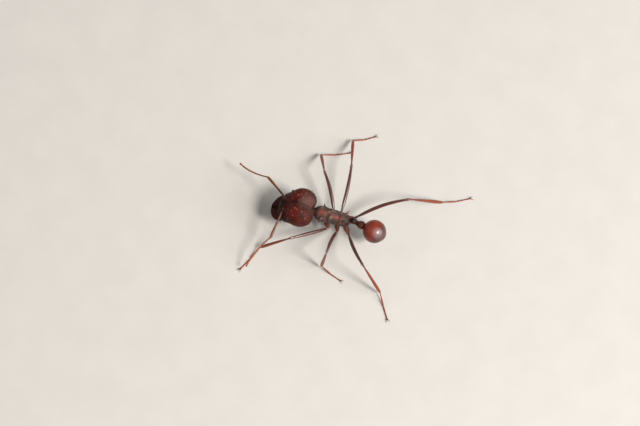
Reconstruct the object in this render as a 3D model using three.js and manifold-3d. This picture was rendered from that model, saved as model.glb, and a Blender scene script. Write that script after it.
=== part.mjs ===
// Leafcutter ant soldier (genus Atta), life size, in its walking stance.
//
// Units are millimetres. +Z is up and the floor is z = 0. The ant faces -X, so that its right
// side is +Y. The origin is on the floor under the middle of the whole outline. Every plate of
// the body and every length of a leg or feeler is one closed solid, and a narrow seam parts each
// from the next. The ant is a still figure, so the pose is built in.

import * as THREE from 'three';
import { mergeVertices } from 'three/addons/utils/BufferGeometryUtils.js';
import Module from 'manifold-3d';

const wasm = await Module();
wasm.setup();

const { clamp, degToRad, lerp } = THREE.MathUtils;
const vec = (x, y, z) => new THREE.Vector3(x, y, z);

// ---------------------------------------------------------------------------------------------
// Driving dimensions
// ---------------------------------------------------------------------------------------------

const COAT = 0.04; // short hair over the cuticle, which the solids reach out to
const SEAM = 0.02; // gap between one plate and the next
const THIN = 0.26; // smallest radius of a leg or feeler section
const SIDES = { right: 1, left: -1 };

const HEAD = {
  centre: [-4.38, -0.5, 4.0],
  turn: 2, // degrees to its left
  nod: 18, // degrees nose down
  width: 4.8, // across the two rear lobes
  lobeRadii: [1.66, 1.36, 1.58],
  lobeBack: 0.66,
};

const EYE = { ahead: -0.72, height: 0.28, radii: [0.26, 0.19, 0.24], sunk: 0.04 };

const MANDIBLE = {
  base: -1.7,
  length: 1.76,
  baseWidth: 1.66, // midline to outer edge at the hinge
  baseGap: 0.62, // midline to inner edge at the hinge
  biteGap: 0.04, // midline to inner edge along the teeth
  biteStart: 0.3, // where the teeth begin, as a share of the length
  biteEnd: 0.97,
  teeth: 8,
  toothDepth: 0.09,
  height: -0.42,
  drop: 0.22, // how much lower the tip lies than the hinge
  thickness: 0.62,
};

const MOUTH = { centre: [-1.85, 0, -1.02], radii: [0.62, 0.55, 0.26] };

const ANTENNA = {
  socket: [-1.2, 0.62, 0.8],
  scapeLength: 3.9,
  flagellumLength: 4.6,
  segments: 10,
  // Degrees out from straight ahead and down from level, at the scape and at both flagellum ends.
  right: { scapeOut: 40, scapeDrop: 9, startOut: 2, endOut: 42, startDrop: 8, endDrop: 30 },
  left: { scapeOut: 80, scapeDrop: 18, startOut: 50, endOut: 72, startDrop: 18, endDrop: 30 },
};

const THORAX_Y = -0.18; // middle plane of the thorax
const PETIOLE = [2.56, -0.12, 3.28];
const POSTPETIOLE = [3.68, -0.38, 3.3];

const GASTER = {
  centre: [5.43, -0.79, 3.3],
  radii: [1.42, 1.42, 1.34],
  turn: -12, // degrees: the tail end swings to the ant's left
  firstPlate: 0.92, // length of the first plate behind the middle
};

const COXA_RADII = [0.38, 0.4, 0.29]; // at its base, middle and hip
const FEMUR_SWELL = 0.045; // how much thicker a femur is at its thickest
const CLAW = { length: 0.55, radius: 0.15, spread: 28, drop: 14 }; // turns are in degrees
const ANKLE_HEIGHT = 0.65;
const FEMUR_RISE = 0.22; // how far a femur arches up between hip and knee
const SOLE_HEIGHT = 0.22; // middle of the foot above the floor, a little under its radius

// One entry for each pair of legs. The base is where a coxa leaves the thorax: along the body,
// out from its middle plane and up. The dip is how steeply the coxa points down, in degrees.
const LEG_PAIRS = {
  front: { base: [-0.7, 0.4, 2.7], coxa: 1.1, dip: 36, femur: 5.3, tibia: 4.75, tarsus: 3.5 },
  middle: { base: [0.72, 0.45, 2.6], coxa: 0.9, dip: 36, femur: 6.1, tibia: 5.3, tarsus: 2.8 },
  hind: { base: [1.7, 0.42, 2.6], coxa: 1.15, dip: 30, femur: 7.1, tibia: 5.6, tarsus: 3.4 },
};

// How each leg is set: the heading of each length in degrees, from straight ahead out to the
// leg's own side, the height of the knee, and how far the femur bows towards the head.
const STANCE = {
  front: {
    right: { coxa: 143, femur: 61, knee: 3.72, tibia: 68.5, tarsus: 156.5, bow: -0.15 },
    left: { coxa: 129, femur: 40, knee: 3.72, tibia: 12, tarsus: 63, bow: -0.12 },
  },
  middle: {
    right: { coxa: 95, femur: 87, knee: 3.4, tibia: 77, tarsus: 148.5, bow: -0.14 },
    left: { coxa: 112, femur: 89.6, knee: 5.88, tibia: -26, tarsus: 159, bow: 0.08 },
  },
  hind: {
    right: { coxa: 143, femur: 152.3, knee: 4.32, tibia: 146.7, tarsus: 152, bow: 0.27 },
    left: { coxa: 132, femur: 121.6, knee: 5.7, tibia: 164, tarsus: 120, bow: 0.2 },
  },
};

const COLOURS = {
  head: 0x4a2019,
  mandible: 0x1f100d,
  eye: 0x0c0a0b,
  thorax: 0x43302d,
  waist: 0x2a1a18,
  gaster: 0x7a2c1c,
  leg: 0x5c231c,
  foot: 0x8a3a22,
  feeler: 0x6e2c20,
};

// ---------------------------------------------------------------------------------------------
// Smooth shapes: functions of a point, negative inside and close to the distance outside
// ---------------------------------------------------------------------------------------------

function ellipsoid(centre, radii) {
  return (point) => {
    const scaled = point.map((value, i) => (value - centre[i]) / radii[i]);
    const slope = Math.hypot(...scaled.map((value, i) => value / radii[i]));
    const reach = Math.hypot(...scaled);
    return (reach * (reach - 1)) / Math.max(slope, 1e-6);
  };
}

function rod(from, to, startRadius, endRadius) {
  const axis = to.map((value, i) => value - from[i]);
  const lengthSquared = axis.reduce((sum, value) => sum + value * value, 0);
  return (point) => {
    const along = point.reduce((sum, value, i) => sum + (value - from[i]) * axis[i], 0);
    const t = clamp(along / lengthSquared, 0, 1);
    const offset = point.map((value, i) => value - from[i] - t * axis[i]);
    return Math.hypot(...offset) - lerp(startRadius, endRadius, t);
  };
}

function blend(softness, ...shapes) {
  return (point) => shapes
    .map((shape) => shape(point))
    .reduce((a, b) => {
      const overlap = Math.max(softness - Math.abs(a - b), 0) / softness;
      return Math.min(a, b) - (overlap * overlap * softness) / 4;
    });
}

// The same shape on both sides of the middle plane.
function bothSides(makeShape, softness) {
  return blend(softness, makeShape(SIDES.right), makeShape(SIDES.left));
}

// ---------------------------------------------------------------------------------------------
// Closed bodies from those shapes, and from rings along a line
// ---------------------------------------------------------------------------------------------

// How far along a ray the shape's value rises to the level.
function distanceToSurface(shape, from, direction, level, furthest) {
  let inside = 0;
  let outside = furthest;
  for (let i = 0; i < 30; i += 1) {
    const middle = (inside + outside) / 2;
    const point = from.map((value, axis) => value + direction[axis] * middle);
    if (shape(point) < level) inside = middle;
    else outside = middle;
  }
  return (inside + outside) / 2;
}

function positionsOnly(geometry) {
  geometry.deleteAttribute('normal');
  geometry.deleteAttribute('uv');
  return mergeVertices(geometry, 1e-4);
}

// A body whose every vertex is on the shape's surface, looked for from the middle outwards. The
// half sizes spread the vertices evenly over a long or flat shape.
function skin(shape, middle, halfSizes, divisions, grow = 0) {
  const box = new THREE.BoxGeometry(2, 2, 2, divisions, divisions, divisions);
  const geometry = positionsOnly(box);
  const position = geometry.getAttribute('position');
  for (let i = 0; i < position.count; i += 1) {
    const even = [position.getX(i), position.getY(i), position.getZ(i)]
      .map((value) => Math.tan((value * Math.PI) / 4));
    const size = Math.hypot(...even);
    const direction = even.map((value, axis) => (value / size) * halfSizes[axis]);
    const reach = distanceToSurface(shape, middle, direction, COAT + grow, 3);
    position.setXYZ(i, ...middle.map((value, axis) => value + direction[axis] * reach));
  }
  return geometry;
}

// A body through closed rings of points, all with the same number of points, capped by a fan to
// the first and last point of the line.
function loft(rings, start, end) {
  const count = rings[0].length;
  const points = [...rings.flat(), start, end];
  const faces = [];
  for (let ring = 0; ring < rings.length - 1; ring += 1) {
    for (let i = 0; i < count; i += 1) {
      const a = ring * count + i;
      const b = ring * count + ((i + 1) % count);
      faces.push(a, b, b + count, a, b + count, a + count);
    }
  }
  const last = (rings.length - 1) * count;
  for (let i = 0; i < count; i += 1) {
    const next = (i + 1) % count;
    faces.push(next, i, points.length - 2);
    faces.push(last + i, last + next, points.length - 1);
  }
  const geometry = new THREE.BufferGeometry();
  geometry.setAttribute('position', new THREE.Float32BufferAttribute(points.flatMap((p) => [...p]), 3));
  geometry.setIndex(faces);
  return geometry;
}

// Round rings of points about a line, each square to the line's heading there.
function ringsAlong(line, radii, sides) {
  return line.map((centre, i) => {
    const before = line[Math.max(i - 1, 0)];
    const after = line[Math.min(i + 1, line.length - 1)];
    const heading = after.clone().sub(before).normalize();
    const across = heading.clone().cross(vec(0, 0, 1)).normalize();
    const up = across.clone().cross(heading);
    return Array.from({ length: sides }, (_, side) => {
      const angle = ((side + 0.5) / sides) * 2 * Math.PI;
      return centre.clone()
        .addScaledVector(across, Math.cos(angle) * radii[i])
        .addScaledVector(up, -Math.sin(angle) * radii[i]);
    });
  });
}

// A round tube along a line of points, with a radius at each. Its far end is domed. The near end
// is narrowed, because it starts inside the joint of the piece before it.
function tube(line, radii, grow = 0, sides = 7) {
  const away = line[1].clone().sub(line[0]).normalize();
  const ahead = line.at(-1).clone().sub(line.at(-2)).normalize();
  const endRadius = radii.at(-1) + grow;
  const centres = [
    line[0],
    line[0].clone().addScaledVector(away, radii[0] * 0.8),
    ...line.slice(1),
    line.at(-1).clone().addScaledVector(ahead, endRadius * 0.7),
  ];
  const sizes = [
    (radii[0] + grow) * 0.55,
    ...radii.map((radius) => radius + grow),
    endRadius * 0.72,
  ];
  const end = line.at(-1).clone().addScaledVector(ahead, endRadius);
  return loft(ringsAlong(centres, sizes, sides), line[0], end);
}

// A short cone with a bowed side, such as a spine growing out of a plate.
function spine(base, tip, radius) {
  const line = [vec(...base), vec(...base).lerp(vec(...tip), 0.55)];
  const rings = ringsAlong(line, [radius, radius * 0.6], 5);
  return loft(rings, line[0], vec(...tip));
}

function solid(geometry) {
  return new wasm.Manifold(new wasm.Mesh({
    numProp: 3,
    vertProperties: Float32Array.from(geometry.getAttribute('position').array),
    triVerts: Uint32Array.from(geometry.getIndex().array),
  }));
}

function geometryOf(manifold) {
  const { vertProperties, triVerts } = manifold.getMesh();
  const geometry = new THREE.BufferGeometry();
  geometry.setAttribute('position', new THREE.Float32BufferAttribute(vertProperties, 3));
  geometry.setIndex([...triVerts]);
  return geometry;
}

const join = (first, ...others) => others.reduce((body, other) => body.add(solid(other)), solid(first));
const cut = (body, ...tools) => tools.reduce((rest, tool) => rest.subtract(solid(tool)), body);

function addMesh(group, name, geometry, colour, roughness = 0.35) {
  const shaded = geometry.toNonIndexed();
  shaded.computeVertexNormals();
  const material = new THREE.MeshStandardMaterial({ color: colour, roughness, metalness: 0 });
  const mesh = new THREE.Mesh(shaded, material);
  mesh.name = name;
  group.add(mesh);
}

// ---------------------------------------------------------------------------------------------
// Head, in its own frame: -X is forward, +Y the ant's right, +Z the crown
// ---------------------------------------------------------------------------------------------

const headShape = (() => {
  const lobeOut = HEAD.width / 2 - HEAD.lobeRadii[1];
  const lobes = bothSides((side) => ellipsoid([HEAD.lobeBack, side * lobeOut, 0.02], HEAD.lobeRadii), 0.3);
  const face = ellipsoid([-0.55, 0, -0.08], [1.6, 1.94, 1.22]);
  const cheeks = bothSides((side) => ellipsoid([-1.15, side * 0.98, -0.28], [0.92, 0.8, 0.74]), 0.3);
  const browRidges = bothSides((side) => ellipsoid([-1.15, side * 0.42, 0.72], [0.7, 0.2, 0.3]), 0.1);
  const clypeus = ellipsoid([-1.75, 0, 0.05], [0.5, 0.85, 0.42]);
  const saddle = ellipsoid([0.4, 0, 0.08], [1.35, 1.25, 1.27]);
  return blend(0.2, blend(0.45, lobes, face, cheeks, saddle), browRidges, clypeus);
})();

const headFrom = [-0.2, 0, -0.05];
const headHalf = [2.3, 2.3, 1.5];

function eyeBody(side, grow) {
  const out = distanceToSurface(headShape, [EYE.ahead, 0, EYE.height], [0, side, 0], 0, 4);
  const centre = [EYE.ahead, side * (out - EYE.sunk), EYE.height];
  return skin(ellipsoid(centre, EYE.radii), centre, EYE.radii, 3, grow);
}

function headBody() {
  const spines = Object.values(SIDES).flatMap((side) => [
    spine([1.45, side * 1.5, 0.5], [2.06, side * 2.02, 0.92], 0.24),
    spine([1.45, side * 1.6, -0.55], [2.05, side * 1.92, -0.75], 0.22),
  ]);
  const plate = join(skin(headShape, headFrom, headHalf, 9), ...spines);
  return geometryOf(cut(plate, eyeBody(SIDES.right, SEAM), eyeBody(SIDES.left, SEAM)));
}

// The toothed inner edge and the bowed outer edge of a closed mandible, at t from hinge to tip.
function mandibleEdges(t) {
  const { baseWidth, baseGap, biteGap, biteStart, biteEnd, teeth, toothDepth } = MANDIBLE;
  const outer = baseWidth * (1 - t ** 2.4) ** 0.62 + 0.14;
  const inner = t < biteStart ? lerp(baseGap, 2 * biteGap, t / biteStart) : biteGap;
  const bite = ((t - biteStart) / (1 - biteStart)) * teeth;
  const biting = t > biteStart && t < biteEnd;
  const tooth = biting ? toothDepth * (1 - Math.abs(2 * (bite % 1) - 1)) : 0;
  return { inner: inner + tooth, outer };
}

function mandibleBody(side) {
  const steps = 5 + MANDIBLE.teeth * 2;
  const rings = Array.from({ length: steps + 1 }, (_, i) => {
    const t = i / steps;
    const { inner, outer } = mandibleEdges(t);
    const x = MANDIBLE.base - MANDIBLE.length * t;
    const z = MANDIBLE.height - MANDIBLE.drop * t * t;
    const half = (MANDIBLE.thickness * lerp(1, 0.82, t)) / 2;
    const ridge = lerp(inner, outer, 0.62);
    const section = [
      [outer, 0], [ridge, half], [lerp(inner, ridge, 0.3), half * 0.75], [inner, 0],
      [lerp(inner, ridge, 0.3), -half * 0.75], [ridge, -half],
    ];
    const points = section.map(([y, height]) => vec(x, side * y, z + height));
    return side < 0 ? points : points.reverse();
  });
  const middleOf = (ring) => ring.reduce((sum, point) => sum.add(point), vec(0, 0, 0))
    .divideScalar(ring.length);
  return loft(rings, middleOf(rings[0]), middleOf(rings.at(-1)));
}

function addHead(group) {
  addMesh(group, 'head', headBody(), COLOURS.head);
  const grownHead = skin(headShape, headFrom, headHalf, 9, SEAM);
  for (const [name, side] of Object.entries(SIDES)) {
    const mandible = geometryOf(cut(solid(mandibleBody(side)), grownHead));
    addMesh(group, `mandible_${name}`, mandible, COLOURS.mandible, 0.3);
    addMesh(group, `eye_${name}`, eyeBody(side, 0), COLOURS.eye, 0.15);
  }
  const mouthBody = skin(ellipsoid(MOUTH.centre, MOUTH.radii), MOUTH.centre, MOUTH.radii, 2);
  addMesh(group, 'mouthparts', geometryOf(cut(solid(mouthBody), grownHead)), COLOURS.mandible);
}

// ---------------------------------------------------------------------------------------------
// Feelers
// ---------------------------------------------------------------------------------------------

// A unit step `out` degrees from straight ahead to the given side, and `drop` degrees down.
function heading(side, out, drop) {
  const [turn, fall] = [degToRad(out), degToRad(drop)];
  return vec(-Math.cos(turn) * Math.cos(fall), side * Math.sin(turn) * Math.cos(fall), -Math.sin(fall));
}

function addAntenna(group, headGroup, name) {
  const side = SIDES[name];
  const set = ANTENNA[name];
  const [x, y, z] = ANTENNA.socket;
  const socket = vec(x, side * y, z).applyMatrix4(headGroup.matrix);
  const elbow = socket.clone()
    .addScaledVector(heading(side, set.scapeOut, set.scapeDrop), ANTENNA.scapeLength);

  const scapeLine = [0, 0.12, 0.4, 0.7, 1].map((t) => socket.clone().lerp(elbow, t));
  const scapeRadii = scapeLine.map((_, i) => THIN + 0.008 * i);
  const grownHead = skin(headShape, headFrom, headHalf, 9, SEAM).applyMatrix4(headGroup.matrix);
  const scape = geometryOf(cut(solid(tube(scapeLine, scapeRadii)), grownHead));
  addMesh(group, `scape_${name}`, scape, COLOURS.feeler);

  const line = [elbow.clone()];
  const step = ANTENNA.flagellumLength / ANTENNA.segments;
  for (let i = 0; i < ANTENNA.segments; i += 1) {
    const t = i / (ANTENNA.segments - 1);
    const way = heading(side, lerp(set.startOut, set.endOut, t), lerp(set.startDrop, set.endDrop, t));
    line.push(line.at(-1).clone().addScaledVector(way, step));
  }
  const radii = line.map(() => THIN);
  const flagellum = cut(solid(tube(line, radii)), tube(scapeLine, scapeRadii, SEAM));
  addMesh(group, `flagellum_${name}`, geometryOf(flagellum), COLOURS.feeler);
}

// ---------------------------------------------------------------------------------------------
// Thorax, waist and gaster
// ---------------------------------------------------------------------------------------------

// Each plate: the smooth shape, the point that its surface is looked for from, its half sizes,
// the number of divisions, and the spines of its right side as base, tip and base radius, with
// their distance out from the thorax's middle plane.
const PLATES = {
  pronotum: {
    shape: blend(
      0.3,
      rod([-1.45, THORAX_Y, 3.3], [-0.95, THORAX_Y, 3.27], 0.9, 0.93),
      rod([-1.6, THORAX_Y, 3.3], [-2.65, -0.22, 3.5], 0.42, 0.34),
    ),
    middle: [-1.35, THORAX_Y, 3.28],
    half: [1.2, 0.93, 0.92],
    divisions: 5,
    spines: [[[-1.1, 0.66, 3.6], [-1.25, 1.16, 4.1], 0.27]],
  },
  mesonotum: {
    shape: blend(
      0.3,
      rod([-0.15, THORAX_Y, 3.2], [0.45, THORAX_Y, 3.14], 0.92, 0.88),
      ellipsoid([-0.08, THORAX_Y, 3.7], [0.6, 0.58, 0.36]),
    ),
    middle: [0.12, THORAX_Y, 3.26],
    half: [1, 0.95, 0.9],
    divisions: 5,
    spines: [[[-0.08, 0.32, 3.8], [-0.1, 0.6, 4.42], 0.2]],
  },
  propodeum: {
    shape: blend(
      0.3,
      rod([1.1, THORAX_Y, 3.1], [1.55, THORAX_Y, 3.05], 0.84, 0.78),
      ellipsoid([1.18, THORAX_Y, 3.42], [0.62, 0.6, 0.42]),
    ),
    middle: [1.38, THORAX_Y, 3.12],
    half: [0.9, 0.9, 0.8],
    divisions: 5,
    spines: [[[1.4, 0.38, 3.55], [2.05, 0.82, 4.32], 0.22]],
  },
  petiole: {
    shape: blend(
      0.2,
      rod([2.0, THORAX_Y, 3.1], PETIOLE, 0.28, 0.28),
      ellipsoid([2.62, -0.13, 3.4], [0.38, 0.34, 0.38]),
      rod(PETIOLE, [3.05, -0.22, 3.24], 0.28, 0.28),
    ),
    middle: PETIOLE,
    half: [0.5, 0.35, 0.4],
    divisions: 4,
    spines: [],
  },
  postpetiole: {
    shape: blend(
      0.2,
      rod([3.04, -0.22, 3.24], POSTPETIOLE, 0.26, 0.34),
      ellipsoid(POSTPETIOLE, [0.54, 0.48, 0.46]),
      rod(POSTPETIOLE, [4.3, -0.52, 3.28], 0.38, 0.36),
    ),
    middle: POSTPETIOLE,
    half: [0.6, 0.5, 0.5],
    divisions: 4,
    spines: [],
  },
};

function plateSkin({ shape, middle, half, divisions }, grow = 0) {
  return skin(shape, middle, half, divisions, grow);
}

// The gaster in its own frame, with +X towards its tip.
const gasterShape = blend(
  0.35,
  ellipsoid([0, 0, 0], GASTER.radii),
  ellipsoid([0.86, 0, -0.12], [0.5, 0.5, 0.46]),
);

function gasterSkin(grow = 0) {
  const matrix = new THREE.Matrix4().makeRotationZ(degToRad(GASTER.turn)).setPosition(...GASTER.centre);
  return skin(gasterShape, [0, 0, 0], GASTER.radii, 6, grow).applyMatrix4(matrix);
}

// A block that holds everything before or behind a cross-section of the gaster.
function gasterBlock(from, to) {
  const block = positionsOnly(new THREE.BoxGeometry(to - from, 4, 4));
  block.translate((from + to) / 2, 0, 0);
  block.rotateZ(degToRad(GASTER.turn));
  return block.translate(...GASTER.centre);
}

function addBody(group, headGroup) {
  const grownHead = skin(headShape, headFrom, headHalf, 9, SEAM).applyMatrix4(headGroup.matrix);
  const colours = { petiole: COLOURS.waist, postpetiole: COLOURS.waist };
  let before = [grownHead];
  for (const [name, plate] of Object.entries(PLATES)) {
    const spines = Object.values(SIDES).flatMap((side) => plate.spines.map(([base, tip, radius]) => {
      const mirrored = ([x, y, z]) => [x, THORAX_Y + side * y, z];
      return spine(mirrored(base), mirrored(tip), radius);
    }));
    const body = cut(join(plateSkin(plate), ...spines), ...before);
    addMesh(group, name, geometryOf(body), colours[name] ?? COLOURS.thorax);
    before = [plateSkin(plate, SEAM)];
  }
  const whole = cut(solid(gasterSkin()), ...before);
  const front = whole.subtract(solid(gasterBlock(GASTER.firstPlate, 3)));
  const tip = whole.subtract(solid(gasterBlock(-3, GASTER.firstPlate + SEAM)));
  addMesh(group, 'gaster', geometryOf(front), COLOURS.gaster, 0.2);
  addMesh(group, 'gaster_tip', geometryOf(tip), COLOURS.gaster, 0.2);
}

// ---------------------------------------------------------------------------------------------
// Legs
// ---------------------------------------------------------------------------------------------

// The far end of a straight length that leaves `from` on a heading and ends at a given height.
function endAtHeight(from, side, out, length, height) {
  const run = Math.sqrt(length ** 2 - (height - from.z) ** 2);
  const end = from.clone().addScaledVector(heading(side, out, 0), run);
  end.z = height;
  return end;
}

function straight(from, to, steps) {
  return Array.from({ length: steps + 1 }, (_, i) => from.clone().lerp(to, i / steps));
}

// A femur's line: it arches upwards and bows level, by the given length, towards the head.
function arched(from, to, side, out, bow, steps) {
  const middle = heading(side, out - 90, 0).multiplyScalar(bow).setZ(FEMUR_RISE);
  return straight(from, to, steps)
    .map((point, i) => point.addScaledVector(middle, Math.sin((Math.PI * i) / steps)));
}

const radiiAlong = (line, radiusAt) => line.map((_, i) => radiusAt(i / (line.length - 1)));
const femurRadius = (t) => THIN + FEMUR_SWELL * Math.sin(Math.PI * Math.min(t * 1.15, 1)) ** 1.5;
const tibiaRadius = (t) => THIN * lerp(0.96, 1.08, t);

// The foot slopes down from the ankle and then lies along the floor.
function footLine(ankle, side, out, length) {
  return straight(ankle, ankle.clone().addScaledVector(heading(side, out, 0), length), 4)
    .map((point, i) => {
      const slope = Math.max(1 - i / 2, 0) ** 1.6;
      return point.setZ(lerp(SOLE_HEIGHT, ANKLE_HEIGHT, slope));
    });
}

// Flatten whatever would reach below the floor, which leaves the foot a small flat sole.
function restOnFloor(geometry) {
  const position = geometry.getAttribute('position');
  for (let i = 0; i < position.count; i += 1) position.setZ(i, Math.max(position.getZ(i), 0));
  return geometry;
}

function claw(tip, side, out) {
  const start = tip.clone().addScaledVector(heading(side, out, 0), 0.1);
  const end = start.clone().addScaledVector(heading(side, out, CLAW.drop), CLAW.length);
  return spine([...start], [...end], CLAW.radius);
}

function addLeg(group, pair, name, thorax) {
  const side = SIDES[name];
  const size = LEG_PAIRS[pair];
  const set = STANCE[pair][name];
  const base = vec(size.base[0], THORAX_Y + side * size.base[1], size.base[2]);
  const hip = base.clone().addScaledVector(heading(side, set.coxa, size.dip), size.coxa);
  const knee = endAtHeight(hip, side, set.femur, size.femur, set.knee);
  const ankle = endAtHeight(knee, side, set.tibia, size.tibia, ANKLE_HEIGHT);

  const coxaLine = straight(base, hip, 2);
  const femurLine = arched(hip, knee, side, set.femur, set.bow, 4);
  const tibiaLine = straight(knee, ankle, 2);
  const tarsusLine = footLine(ankle, side, set.tarsus, size.tarsus);
  const femurRadii = radiiAlong(femurLine, femurRadius);
  const tibiaRadii = radiiAlong(tibiaLine, tibiaRadius);
  const tarsusRadii = tarsusLine.map(() => THIN);

  const coxa = cut(solid(tube(coxaLine, COXA_RADII)), ...thorax);
  const femur = cut(solid(tube(femurLine, femurRadii)), tube(coxaLine, COXA_RADII, SEAM));
  const tibia = cut(solid(tube(tibiaLine, tibiaRadii)), tube(femurLine, femurRadii, SEAM));
  const claws = [-CLAW.spread, CLAW.spread]
    .map((spread) => claw(tarsusLine.at(-1), side, set.tarsus + spread));
  const foot = restOnFloor(tube(tarsusLine, tarsusRadii, 0, 8));
  const tarsus = cut(join(foot, ...claws), tube(tibiaLine, tibiaRadii, SEAM));

  const leg = `${pair}_${name}`;
  addMesh(group, `${leg}_coxa`, geometryOf(coxa), COLOURS.thorax);
  addMesh(group, `${leg}_femur`, geometryOf(femur), COLOURS.leg);
  addMesh(group, `${leg}_tibia`, geometryOf(tibia), COLOURS.foot);
  addMesh(group, `${leg}_tarsus`, geometryOf(tarsus), COLOURS.foot);
}

// ---------------------------------------------------------------------------------------------
// The whole ant
// ---------------------------------------------------------------------------------------------

const ant = new THREE.Group();

const headGroup = new THREE.Group();
headGroup.position.set(...HEAD.centre);
headGroup.rotation.set(0, degToRad(-HEAD.nod), degToRad(HEAD.turn), 'ZYX');
headGroup.updateMatrix();
addHead(headGroup);
ant.add(headGroup);

for (const name of Object.keys(SIDES)) addAntenna(ant, headGroup, name);
addBody(ant, headGroup);

const thoraxSkins = ['pronotum', 'mesonotum', 'propodeum'].map((name) => plateSkin(PLATES[name], SEAM));
for (const pair of Object.keys(LEG_PAIRS)) {
  for (const name of Object.keys(SIDES)) addLeg(ant, pair, name, thoraxSkins);
}

// Bring the middle of the outline over the origin. The feet are already on the floor.
const group = new THREE.Group();
const outline = new THREE.Box3().setFromObject(ant);
const middle = outline.getCenter(new THREE.Vector3());
ant.position.set(-middle.x, -middle.y, 0);
group.add(ant);
group.updateMatrixWorld(true);

export default group;
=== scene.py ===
"""Leafcutter ant soldier, life size, as a still museum model.

Shapes are worked out in the ant's own frame, in millimetres: it faces -X, its right side is +Y,
+Z is up and the floor is z = 0. The last step of each piece moves its mesh into the frame's metres.
"""

import logging
import math
from dataclasses import dataclass, field, replace
from enum import Enum
from itertools import product
from typing import Any, Callable, Sequence

import bpy
import numpy as np
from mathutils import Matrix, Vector


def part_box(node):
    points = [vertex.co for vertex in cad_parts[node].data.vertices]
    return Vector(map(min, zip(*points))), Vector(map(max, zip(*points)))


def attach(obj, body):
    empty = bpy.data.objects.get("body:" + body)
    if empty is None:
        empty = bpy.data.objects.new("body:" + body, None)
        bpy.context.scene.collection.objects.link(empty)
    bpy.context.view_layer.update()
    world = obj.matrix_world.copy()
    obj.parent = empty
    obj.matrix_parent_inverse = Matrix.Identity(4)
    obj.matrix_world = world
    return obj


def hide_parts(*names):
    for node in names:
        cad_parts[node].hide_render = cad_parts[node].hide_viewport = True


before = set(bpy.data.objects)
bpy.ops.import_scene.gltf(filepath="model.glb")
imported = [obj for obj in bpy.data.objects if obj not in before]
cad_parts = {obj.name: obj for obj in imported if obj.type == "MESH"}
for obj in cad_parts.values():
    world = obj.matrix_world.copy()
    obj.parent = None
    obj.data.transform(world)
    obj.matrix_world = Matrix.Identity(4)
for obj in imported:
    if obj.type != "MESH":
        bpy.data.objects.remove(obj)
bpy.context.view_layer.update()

MM_PER_METRE = 1000.0
BODY = "root"
BAKE_MAP = "OFBake"

Array = np.ndarray
Shape = Callable[[Array], Array]
Triple = tuple[float, float, float]
Field = Callable[[Array, Array, Array], Array]
Stations = Sequence[tuple[float, float]]

DOME_LENGTH = 0.8  # of a tube's rounded end, as a share of the tube's half width
DOME_WIDTHS = (0.35, 0.68, 0.9)  # of the rings of that end, as shares of the same
SPINE_TIP = 0.022  # the radius of a spine's tip
LEAST_SLOPE = 0.05  # the least squared slope that a step onto a surface is divided by

log = logging.getLogger("leafcutter_ant")


class Side(Enum):
    """A side of the ant; the value is the sign of Y there."""

    RIGHT = 1
    LEFT = -1

    @property
    def word(self) -> str:
        """The side's name in lower case."""
        return self.name.lower()


class Pair(Enum):
    """A pair of legs, from the head backwards."""

    FRONT = "front"
    MIDDLE = "middle"
    HIND = "hind"


# --- Smooth shapes: functions of points, negative inside and about the distance near the surface ---


def beside(point: Sequence[float], side: Side, middle: float = 0.0) -> Triple:
    """A point given for the right side, at either side of the plane y = middle."""
    x, y, z = point
    return (x, middle + side.value * y, z)


@dataclass(frozen=True)
class Ball:
    """An ellipsoid with its axes along X, Y and Z."""

    centre: Sequence[float]
    radii: Sequence[float]

    def __call__(self, points: Array) -> Array:
        """The shape's value at each point."""
        sizes = np.array(self.radii)
        scaled = (points - np.array(self.centre)) / sizes
        reach = np.sqrt((scaled * scaled).sum(-1))
        slope = np.sqrt(((scaled / sizes) ** 2).sum(-1))
        return reach * (reach - 1) / np.maximum(slope, 1e-6)

    def on(self, side: Side, middle: float) -> "Ball":
        """The same ball, on a side of the plane y = middle."""
        return replace(self, centre=beside(self.centre, side, middle))


@dataclass(frozen=True)
class Rod:
    """A round rod with domed ends whose radius changes evenly along it."""

    start: Sequence[float]
    end: Sequence[float]
    start_radius: float
    end_radius: float

    def __call__(self, points: Array) -> Array:
        """The shape's value at each point."""
        axis = np.array(self.end) - np.array(self.start)
        offset = points - np.array(self.start)
        t = np.clip(offset @ axis / float(axis @ axis), 0, 1)
        gap = offset - t[..., None] * axis
        radius = self.start_radius + (self.end_radius - self.start_radius) * t
        return np.sqrt((gap * gap).sum(-1)) - radius

    def on(self, side: Side, middle: float) -> "Rod":
        """The same rod, on a side of the plane y = middle."""
        return replace(self, start=beside(self.start, side, middle), end=beside(self.end, side, middle))


def horn(base: Triple, tip: Triple, radius: float) -> Rod:
    """A spine of the shell, sharp at its tip."""
    return Rod(base, tip, radius, SPINE_TIP)


def blend(softness: float, *shapes: Shape) -> Shape:
    """The shapes joined, with a fillet of about the given size where they meet."""

    def value(points: Array) -> Array:
        """The value at each point."""
        total = shapes[0](points)
        for shape in shapes[1:]:
            other = shape(points)
            overlap = np.maximum(softness - np.abs(total - other), 0) / softness
            total = np.minimum(total, other) - overlap * overlap * softness / 4
        return total

    return value


def paired(softness: float, *parts: Ball | Rod, middle: float = 0.0) -> Shape:
    """Parts given for the right side of the plane y = middle, joined, and their like on the left."""
    return blend(softness, *[blend(softness, *[part.on(side, middle) for part in parts]) for side in Side])


def carve(softness: float, shape: Shape, tool: Shape) -> Shape:
    """The shape with a tool's space taken away.

    Args:
        softness: the size of the rounded lip.
        shape: the shape to cut.
        tool: the shape whose space is taken away.

    Returns:
        The new shape.
    """

    def value(points: Array) -> Array:
        """The value at each point."""
        total, hollow = shape(points), -tool(points)
        overlap = np.maximum(softness - np.abs(total - hollow), 0) / softness
        return np.maximum(total, hollow) + overlap * overlap * softness / 4

    return value


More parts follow.
